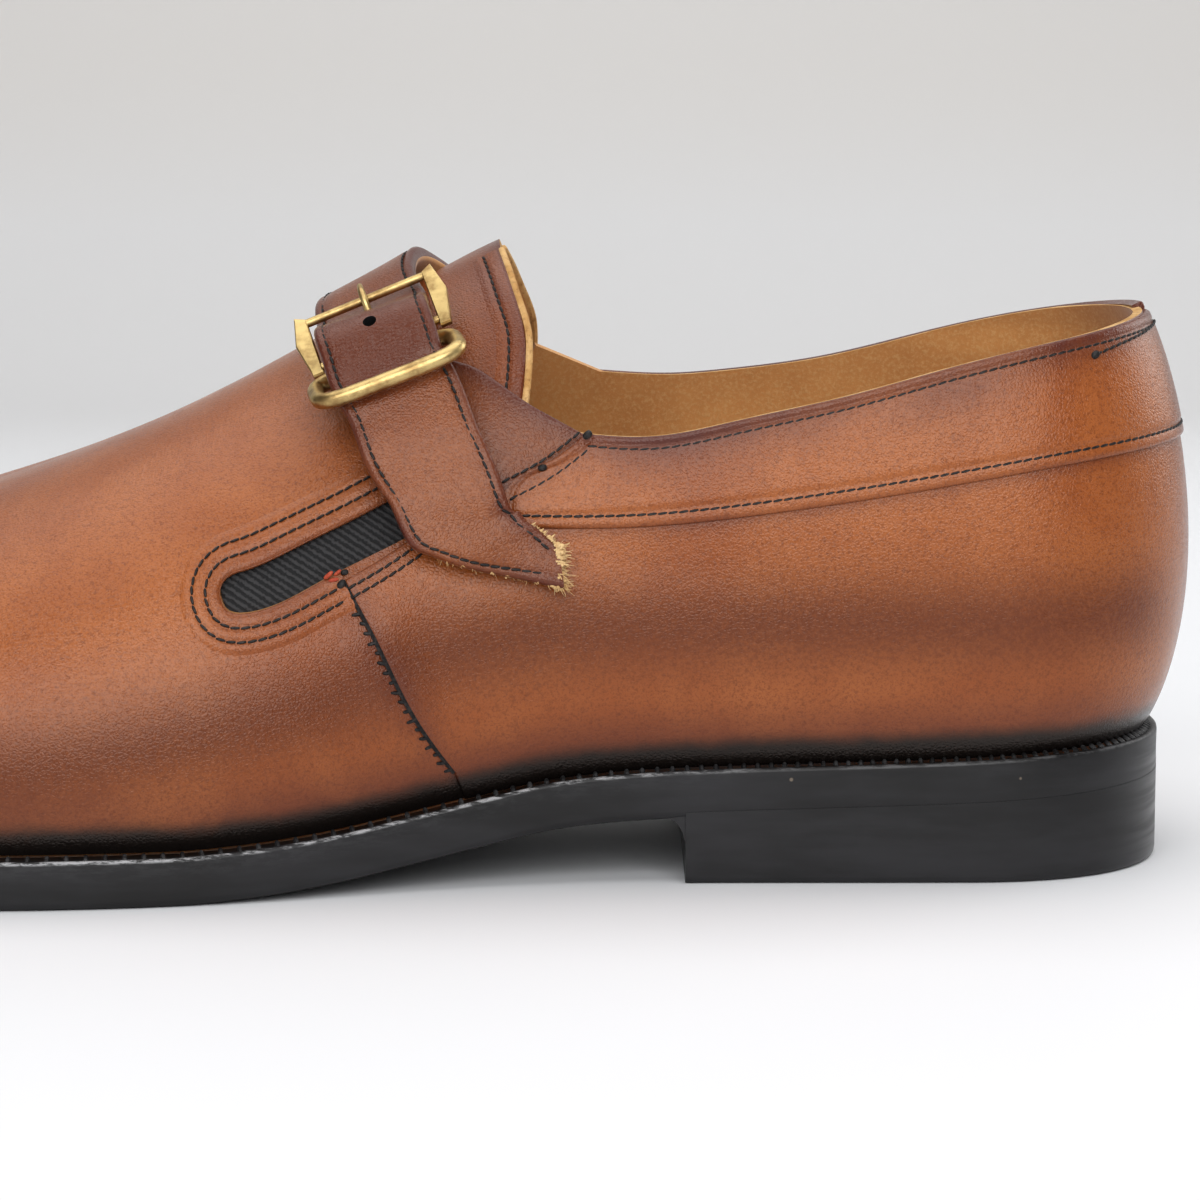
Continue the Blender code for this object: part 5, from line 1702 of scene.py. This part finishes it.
def cross_stitches(grains, side):
    """The sewn seam of vamp and quarter: a cord in the join with stitches over its front."""
    seam = even_line(chord_spline(SEAM[1:], 60), 120)
    line, normals = on_last(seam, side, -0.00002)
    grains.add(tube_rings(line, SEAM_CORD, 6, normals[0]))
    chords = chords_of(line)
    for k in range(int(chords[-1] / SEAM_PITCH)):
        middle = (k + 0.5) * SEAM_PITCH
        at = read_line(middle, chords, line)
        ahead = read_line(middle + 0.5 * MM, chords, line)
        normal = read_line(middle, chords, normals)
        along = (ahead - at) / np.linalg.norm(ahead - at)
        outward_front = np.cross(normal, along)
        if outward_front[0] > 0:
            outward_front = -outward_front
        reach = (1.15 + 0.25 * math.sin(k * 2.3)) * MM
        direction = outward_front + along * (0.45 + 0.25 * math.sin(k * 1.7))
        grains.add(blob(at + outward_front * reach * 0.42, direction, normal, reach * 0.62, SEAM_SPIKE))


def build_strap_piece(path):
    """The long strap, with its holes, stitches and frayed tail."""
    strap = Ribbon(path, STRAP_WIDTH, STRAP_THICK - 0.0002, STRAP_EDGE)
    length = path.knots[-1]

    def wave(places, share):
        swell = 0.00018 * np.sin(places / length * 46) * share
        return swell + 0.00012 * np.sin(places / length * 83 + 1.3) * np.abs(share)

    item = strap.build("strap_leather", 260, ("strap",), wave)
    spare_place = np.array([path.knots[AT_CHAPE_BAR] + SPARE_HOLE_BELOW])
    point, _, normal = strap.point(spare_place, np.array([0.02]), np.array([0.0]))
    spare_line = np.array([point[0] - normal[0] * 1 * MM, point[0] + normal[0] * 5 * MM])
    prong = prong_points(path)
    start, end = prong[-5], prong[-3]
    lean = (end - start) / np.linalg.norm(end - start) * STRAP_THICK
    prong_line = np.array([start - lean, end + lean])
    # The spare hole's wall takes the black tread paint as painted shade inside the hole
    holes = ((spare_line, SPARE_HOLE / 2, TREAD), (prong_line, PRONG_HOLE / 2, SLOT_EDGE))
    cutters = [plain_cutter("hole_cutter", *loft(tube_rings(line, radius, 24)), wall)
               for line, radius, wall in holes]
    for cutter in cutters:
        boolean(item, cutter)
    settle(item, cutters, 50)
    # The stretch past the chape bar is darkened: partly burnish, partly painted shade on the strap's bulge
    tone_ribbon(item, strap, 0.16, (1.0, path.knots[AT_CHAPE_BAR + 1], 10 * MM))
    grains = Grains()
    for side in (1, -1):
        grains.stitches(*strap.edge_line(side, STRAP_ROW_INSET, 9 * MM, length - 2.0 * MM))
    grains.piece("stitches_strap", BLACK_THREAD, "elastic_black")
    return strap


def tone_ribbon(item, ribbon, base, dark=(0, 0, 1)):
    """Burnish along a ribbon's edges, from each point's place on it, and a darker stretch set by dark that
    is partly burnish and partly painted shade.
    """
    points = mesh_points(item)
    places = np.linspace(0, ribbon.path.knots[-1], 200)
    centre, _, across, _, reach = ribbon.path.frames(places)
    nearest = np.argmin(((points[:, None] - centre[None]) ** 2).sum(-1), axis=1)
    sideways = ((points - centre[nearest]) * across[nearest]).sum(-1)
    wide = np.where(sideways > 0, reach[nearest, 0], reach[nearest, 1]) * ribbon.half
    gap = np.clip(wide - np.abs(sideways), 0, None)
    burnish = base + (1 - base) * 0.85 * np.exp(-(gap / 1.5e-3) ** 1.5)
    # dark gives strength, place and reach of that stretch: partly burnish, partly painted shade
    darker = dark[0] * np.exp(-((places[nearest] - dark[1]) / dark[2]) ** 4)
    clouds = 0.5 + 0.5 * np.sin(places[nearest] * 95 + 0.6)
    burnish = np.maximum(burnish, 0.5 * darker)
    shade = np.maximum(0.55 * clouds * np.exp(-(gap / 5e-3) ** 2) + 0.38, darker)
    paint(item, burnish=np.clip(burnish, 0, 1), dye=np.zeros(len(points)), shade=np.clip(shade, 0, 1))


CUBE = [(x, y, z) for x in (-1, 1) for y in (-1, 1) for z in (-1, 1)]
CUBE_FACES = [(0, 1, 3, 2), (4, 6, 7, 5), (0, 4, 5, 1), (2, 3, 7, 6), (0, 2, 6, 4), (1, 5, 7, 3)]


def build_chape_piece(strap_path):
    """The short buckle tab, curled round the chape bar."""
    bar, onward, outward_axis = curl_axes(strap_path)
    reach = CHAPE_BAR / 2 + GAP + CHAPE_THICK
    points = round_points(bar, onward, outward_axis, reach, CHAPE_CURL)
    normals = (bar - points) / reach
    curl = np.column_stack([points, normals, np.tile(CURL_REACH, (len(points), 1))])
    path = StrapPath(np.concatenate([strap_rows(CHAPE), curl]))
    tab = Ribbon(path, CHAPE_WIDTH, CHAPE_THICK - 0.0001, 0.0005, False)
    item = tab.build("buckle_tab_leather", 110, ("buckle_tab",))
    size = reach * 2
    across = np.cross(onward, outward_axis)
    notch = [bar + across * a * NOTCH_HALF + onward * b * size + outward_axis * c * size
             for a, b, c in CUBE]
    cutter = plain_cutter("prong_notch", np.array(notch), CUBE_FACES, RAW_EDGE)
    boolean(item, cutter)
    settle(item, [cutter], 50)
    tone_ribbon(item, tab, 0.35)


def build_brass(path):
    """Buckle frame, prong and keeper ring."""
    chape_bar, outer_bar, upward, sideways, out, spacing = buckle_axes(path)
    middle = (chape_bar + outer_bar) / 2
    offset = STRAP_WIDTH / 2 + BUCKLE_EASE + SIDE_PLATE_WIDTH / 2
    length = spacing + 2 * SIDE_PLATE_REACH
    grains = Grains()
    for sign in (-1, 1):
        centre = middle + sideways * sign * offset
        outline = np.array([centre + sideways * sign * a * SIDE_PLATE_WIDTH + upward * b * length
                            for a, b in PLATE_OUTLINE])
        heart = outline.mean(axis=0)
        half = SIDE_PLATE_THICK / 2
        grains.add([heart + (outline - heart) * size + out * half * rise for size, rise in PLATE_LEVELS])
    for centre, size in ((outer_bar, OUTER_BAR), (chape_bar, CHAPE_BAR)):
        reach = sideways * offset
        grains.add(tube_rings([centre - reach, centre + reach], size / 2, 20, out))
    add_piece("buckle_frame_brass", np.concatenate(grains.vertices), grains.faces, [BRASS], "brass",
              ("buckle_frame",), angle=25, weld=1e-9)

    prong = chord_spline(prong_points(path), 90)
    share = np.linspace(0, 1, 90)
    taper = 1 - 0.25 * smooth_step(0.85, 1.0, share)
    tip = np.sqrt(1 - np.clip((share - 0.985) / 0.0151, 0, 1) ** 2)
    radius = PRONG_WIRE / 2 * taper * tip
    add_piece("prong_brass", *loft(tube_rings(prong, np.maximum(radius, 5e-5), 14)), [BRASS], "brass",
              ("buckle_prong",), weld=1e-8)

    centre, along, across, normal, _ = path.frames(path.knots[[AT_RING]] + RING_SHIFT)
    centre = centre[0] + normal[0] * STRAP_THICK / 2
    lean = along[0] * math.cos(RING_TILT) + normal[0] * math.sin(RING_TILT)
    half_across = STRAP_WIDTH / 2 + GAP + RING_WIRE / 2 + RING_SIDE_ROOM
    angle = np.arange(140) * 2 * math.pi / 140
    c, s = np.cos(angle), np.sin(angle)
    stretch = (np.abs(c) ** RING_POWER + np.abs(s) ** RING_POWER) ** (1 / RING_POWER)
    wide, high = half_across * c / stretch, RING_RISE / 2 * s / stretch
    points = centre + np.outer(wide, across[0]) + np.outer(high, lean)
    wrapped = np.concatenate([points[-3:], points, points[:3]])
    rings = tube_rings(wrapped, RING_WIRE / 2, 20, np.cross(across[0], lean))
    add_piece("keeper_ring_brass", *loft(rings[3:-3], True), [BRASS], "brass", ("keeper_ring",), weld=1e-8)


FIBRES, END_FIBRES, FLAKES = 620, 470, 90


def fray(ribbon):
    """Loose cream fibres and torn flakes at the strap's tail and along its cut edge."""
    rng = np.random.default_rng(7)
    grains = Grains()
    length = ribbon.path.knots[-1]
    for k in range(FIBRES):
        near_end = k < END_FIBRES
        place = length - (rng.uniform(0.0, 1.3) if near_end else rng.uniform(0.5, 13)) * MM
        side = rng.uniform(-1, 1) if near_end else (-1 if rng.random() < 0.75 else 1)
        start, along, normal = ribbon.point(np.array([place]), np.array([side * 0.97]),
                                            np.array([rng.uniform(0.1, 0.95) * ribbon.thickness]))
        across = np.cross(along[0], normal[0]) * side
        away = along[0] * (1.0 if near_end else 0.5) + across * rng.uniform(-0.2, 1.0)
        away = away + normal[0] * rng.uniform(-0.5, 0.5)
        away = away / np.linalg.norm(away)
        reach = rng.uniform(0.5, 1.7) * MM if near_end else rng.uniform(0.2, 0.8) * MM
        bend = rng.normal(0, 0.35, 3) * reach
        line = [start[0] - away * 0.2 * MM, start[0] + away * reach * 0.5 + bend * 0.3,
                start[0] + away * reach + bend]
        thick = rng.uniform(0.05, 0.11) * MM if k % 4 else rng.uniform(0.16, 0.34) * MM
        grains.add(tube_rings(chord_spline(line, 6), thick * np.linspace(1, 0.3, 6), 5))
    for k in range(FLAKES):
        place = length - rng.uniform(-0.2, 2.6) * MM * (k / FLAKES)
        share = rng.uniform(-1.02, -0.6) if k % 3 else rng.uniform(-1.0, 1.0)
        start, along, normal = ribbon.point(np.array([place]), np.array([share]),
                                            np.array([rng.uniform(0.2, 1.0) * ribbon.thickness]))
        direction = along[0] + 0.8 * rng.normal(0, 1, 3)
        size = rng.uniform(0.35, 0.85) * MM
        grains.add(blob(start[0] + along[0] * 0.2 * MM, direction, normal[0], size, size * 0.45, 0.5, 6))
    grains.piece("frayed_fibres", FIBRE, "leather_tan")


SOLE_COLUMNS = 170
# Height of the welt's top over the underside
SOLE_TOP = OUTSOLE_THICK + GAP + WELT_THICK


# Levels of the sole's and the heel's sides, and the welt's top
SOLE_LEVELS = (
    # inset, share of the underside's height, share of SOLE_TOP, rise
    (0.0030, 1, 0, 0.0),
    (0.0011, 1, 0, 0.0),
    (0.0004, 1, 0, 0.00025),
    (0.0001, 1, 0, 0.0007),
    (0.0, 1, 0, 0.0013),
    (0.00005, 1, 0.5, 0.0),
    (0.0, 1, 1, -0.0007),
    (0.00008, 1, 1, -0.00028),
    (0.00035, 1, 1, -0.00005),
    (0.0008, 1, 1, 0.0),
    (0.0016, 1, 1, -0.00035),
    (0.0030, 1, 1, -0.0005),
    (0.0064, 1, 1, -0.0005),
)
HEEL_LEVELS = (
    # inset, share of the underside's height, share of SOLE_TOP, rise
    (0.0014, 0, 0, 0.0),
    (0.0004, 0, 0, 0.0002),
    (0.0001, 0, 0, 0.0006),
    (0.0, 0, 0, 0.0012),
    (0.0, 1, 0, 0.0010),
)
SOCK_INSET, SOCK_DISH, SOCK_THICK = 0.0074, 0.0009, 0.0038
# The rounded corner at the heel's breast: its reach forward, its drop and what it has in the sole
BREAST_REACH, BREAST_DROP, BREAST_SUNK = 0.0030, 0.0052, 0.0009
# The wear line on the welt's edge: where the forepart starts, and its strength behind that
WEAR_START, WEAR_FULL, WEAR_BEHIND = 0.055, 0.105, 0.16


def slab(columns, levels):
    """Sections of the sole's outline at levels."""
    rings = []
    for side, order in ((LATERAL, levels), (MEDIAL, levels[::-1])):
        for inset, under, top, rise in order:
            plan = inset_edge(columns, side, np.full(len(columns), inset))
            height = under * underside(plan[:, 0]) + SOLE_TOP * top + rise
            rings.append(np.column_stack([plan, height]))
    return to_world(np.stack(rings, 1))


def build_sole():
    """Outsole and welt as one smooth black edge, with the welt's top and worn arris."""
    vertices, faces = loft(slab(np.linspace(0, 1, SOLE_COLUMNS), SOLE_LEVELS))
    top_row = len(SOLE_LEVELS) - 1
    count = 2 * len(SOLE_LEVELS)
    paint_of_row = dict.fromkeys((0, 1, count - 1, count - 2, count - 3), 1)
    paint_of_row[top_row] = 2
    indices = [paint_of_row.get(face[0] % count, 0) if len(face) == 4 else 0 for face in faces]
    item = add_piece("sole_and_welt", vertices, faces, [SOLE, TREAD, LINING], "sole_black",
                     ("outsole", "welt"), indices, 60, weld=1e-7)
    points = mesh_points(item)
    rise = points[:, 2] - underside(HEEL_END - points[:, 0])
    worn = smooth_step(SOLE_TOP - 0.00075, SOLE_TOP - 0.0003, rise)
    paint(item, wear=worn * arris_mask(points))


def arris_mask(points):
    """1 on the outer half millimetre of the welt's top edge."""
    columns = np.linspace(0, 1, 300)
    best = np.full(len(points), 1.0)
    for side in (LATERAL, MEDIAL):
        edge = to_world(np.column_stack([sole_edge(columns, side), np.zeros(300)]))[:, :2]
        best = np.minimum(best, distance_to(points[:, :2], edge))
    ahead = smooth_step(WEAR_START, WEAR_FULL, HEEL_END - points[:, 0])
    return (1 - smooth_step(0.00028, 0.0006, best)) * (WEAR_BEHIND + (1 - WEAR_BEHIND) * ahead)


def build_heel():
    """The heel block and its rounded base edge."""
    columns = np.linspace(column_at(HEEL_LENGTH), 1, 70)
    vertices, faces = loft(slab(columns, HEEL_LEVELS))
    item = add_piece("heel_block", vertices, faces, [SOLE], "sole_black", ("heel",), angle=50)
    paint(item, wear=np.zeros(len(item.data.vertices)))


def build_breast_corner():
    """The rounded corner where the heel's breast meets the waist of the sole."""
    u = HEEL_LENGTH
    column = np.array([column_at(u)])
    edges = [inset_edge(column, side, np.array([0.0003]))[0, 1] for side in (LATERAL, MEDIAL)]
    waist = float(underside(u))
    ahead = float(underside(u + BREAST_REACH))
    sections = []
    for y in np.linspace(edges[0], edges[1], 7):
        ring = [(u + BREAST_REACH * (1 - math.sin(a)), y, waist - BREAST_DROP * (1 - math.cos(a)))
                for a in np.linspace(0, math.pi / 2, 9)]
        ring += [(u - 0.0006, y, waist - BREAST_DROP), (u - 0.0006, y, waist + BREAST_SUNK),
                 (u + BREAST_REACH, y, ahead + BREAST_SUNK)]
        sections.append(ring)
    item = add_piece("heel_breast_corner", *loft(to_world(np.array(sections))), [SOLE], "sole_black",
                     angle=40)
    paint(item, wear=np.zeros(len(item.data.vertices)))


def build_insole():
    """The sock over the insole, slightly dished."""
    columns = np.linspace(0, 1, 110)
    shares = (0, 0.25, 0.5, 0.75, 1)
    rings = []
    for side, order in ((LATERAL, shares), (MEDIAL, shares[::-1])):
        edge = inset_edge(columns, side, np.full(110, SOCK_INSET))
        across = inset_edge(columns, -side, np.full(110, SOCK_INSET)) - edge
        for share in order:
            plan = edge + across / 2 * share
            base = underside(plan[:, 0]) + OUTSOLE_THICK + GAP + INSOLE_THICK
            rings.append(np.column_stack([plan, base - SOCK_DISH * math.sin(share * math.pi / 2)]))
    top = to_world(np.stack(rings, 1))
    bottom = top - (0, 0, SOCK_THICK)
    add_piece("sock", *sheet_solid(top, bottom), [LINING], "lining_tan", ("insole",))


# A stitch of the welt: half length and radius
WELT_STITCH_INSET, WELT_STITCH = 0.00175, (0.00100, 0.00044)


def build_welt_stitches():
    """The lock stitches along the top of the welt."""
    grains = Grains()
    columns = np.linspace(0, 1, 1200)
    for side in (LATERAL, MEDIAL):
        edge = sole_edge(columns, side)
        chords = chords_of(edge)
        place = 1.5 * MM
        while place < chords[-1]:
            column = float(np.interp(place, chords, columns))
            u = float(sole_edge(column, side)[0])
            place += float(np.interp(u, (0.05, 0.13), (1.9 * MM, 3.0 * MM)))
            point = inset_edge(np.array([column]), side, np.array([WELT_STITCH_INSET]))[0]
            away = outward(np.array([column]), side)[0]
            height = float(underside(u)) + SOLE_TOP - 0.0001
            centre = to_world(np.array([[point[0], point[1], height]]))[0]
            direction = np.array([-away[0], away[1], -0.55])
            grains.add(blob(centre, direction, np.array([0, 0, 1.0]), *WELT_STITCH, 0.9))
    item = grains.piece("welt_stitches", SOLE, "sole_black")
    paint(item, wear=np.full(len(item.data.vertices), 0.10))


ROUGH_EDGE_INSET, ROUGH_EDGE_SINK, ROUGH_EDGE_RADIUS = -0.00045, -0.0005, 0.00062


def build_tab_edge(side):
    """The puffed, sewn back of the tab and its rough cut edge."""
    name = SIDE_NAMES[side]
    tab = chord_spline(np.array(TAB_EDGE) * MM, 70)
    facing(f"tab_facing_{name}", side, tab, facing_lifts((TAB_ROW,), TAB_PUFF),
           [(TOPLINES[side], 3 * MM, 0.6)])
    build_gore(side)
    rough = offset_line(chord_spline(np.array(TAB_EDGE) * MM, 60), ROUGH_EDGE_INSET)
    line, normals = on_last(rough, side, ROUGH_EDGE_SINK)
    add_piece(f"tab_rough_edge_{name}", *loft(tube_rings(line, ROUGH_EDGE_RADIUS, 8, normals[0])),
              [RAW_EDGE], "lining_tan", weld=1e-9)


def build_all():
    build_shell()
    for side in (LATERAL, MEDIAL):
        build_quarter(side)
        build_band(side)
        build_slot_facing(side)
        build_tab_edge(side)
    path = StrapPath(strap_rows(STRAP))
    strap = build_strap_piece(path)
    build_chape_piece(path)
    build_brass(path)
    fray(strap)
    sew_upper()
    build_sole()
    build_heel()
    build_breast_corner()
    build_insole()
    build_welt_stitches()


# The floor's run toward the camera and to the sides, its bend into the wall and the wall's height
FLOOR_REACH, BEND_START, BEND_RADIUS, WALL_TOP = 6.0, 0.9, 0.5, 2.2


def build_stage():
    """A pale floor that rises into a plain wall far behind."""
    profile = [(-FLOOR_REACH, 0.0), (BEND_START, 0.0)]
    profile += [(BEND_START + BEND_RADIUS * math.sin(a), BEND_RADIUS - BEND_RADIUS * math.cos(a))
                for a in np.linspace(0, math.pi / 2, 24)[1:]]
    profile += [(BEND_START + BEND_RADIUS, WALL_TOP)]
    vertices = [(x, y, z) for x in (-FLOOR_REACH, FLOOR_REACH) for y, z in profile]
    count = len(profile)
    faces = [(k, count + k, count + k + 1, k + 1) for k in range(count - 1)]
    pale = stage_paint("floor_pale", (0.80, 0.81, 0.83), (0.76, 0.745, 0.73), 0.6)
    add_piece("floor", vertices, faces, [pale], None)


LIGHTS = (
    # name, place, aim, size, power
    ("overhead", (0.0, 0.12, 1.2), (0.0, 0.08, 0.05), (1.7, 1.4), 13),
    ("front", (-0.05, -1.28, 0.74), (0.0, 0.0, 0.05), (1.8, 1.0), 19),
    ("back_right", (0.95, 0.45, 0.45), (0.1, 0.0, 0.05), (0.7, 0.6), 3),
)
WORLD_COLOUR, WORLD_STRENGTH = (0.82, 0.81, 0.80, 1), 0.27


def add_light(name, place, aim, size, power):
    """A soft rectangular light turned toward a point."""
    data = bpy.data.lights.new(name, "AREA")
    data.shape = "RECTANGLE"
    data.size, data.size_y = size
    data.energy = power
    item = bpy.data.objects.new(name, data)
    item.location = place
    item.rotation_euler = (Vector(aim) - Vector(place)).to_track_quat("-Z", "Y").to_euler()
    bpy.context.scene.collection.objects.link(item)


def build_lights():
    world = bpy.data.worlds.new("studio")
    bpy.context.scene.world = world
    world.use_nodes = True
    background = world.node_tree.nodes["Background"]
    background.inputs["Color"].default_value = WORLD_COLOUR
    background.inputs["Strength"].default_value = WORLD_STRENGTH
    for row in LIGHTS:
        add_light(*row)


# The camera: focal length and photo width in pixels, place, and pitch in degrees
CAMERA_FOCAL, PHOTO_WIDTH, SENSOR_WIDTH = 3630, 1200, 36
CAMERA_ALONG, CAMERA_AWAY, CAMERA_HEIGHT = 0.0926, 0.600, 0.120
CAMERA_PITCH = 7.5


def build_camera():
    """The photo's view of the shoe: a long lens, a little above, looking down 7.5 degrees."""
    data = bpy.data.cameras.new("camera")
    data.sensor_width = SENSOR_WIDTH
    data.lens = SENSOR_WIDTH * CAMERA_FOCAL / PHOTO_WIDTH
    item = bpy.data.objects.new("camera", data)
    item.location = (HEEL_END - CAMERA_ALONG, MIDDLE_Y - CAMERA_AWAY, CAMERA_HEIGHT)
    item.rotation_euler = (math.radians(90 - CAMERA_PITCH), 0, 0)
    bpy.context.scene.collection.objects.link(item)
    bpy.context.scene.camera = item


build_all()
build_stage()
build_lights()
build_camera()
bpy.context.scene.view_settings.view_transform = "Standard"
bpy.context.scene.view_settings.gamma = 0.88
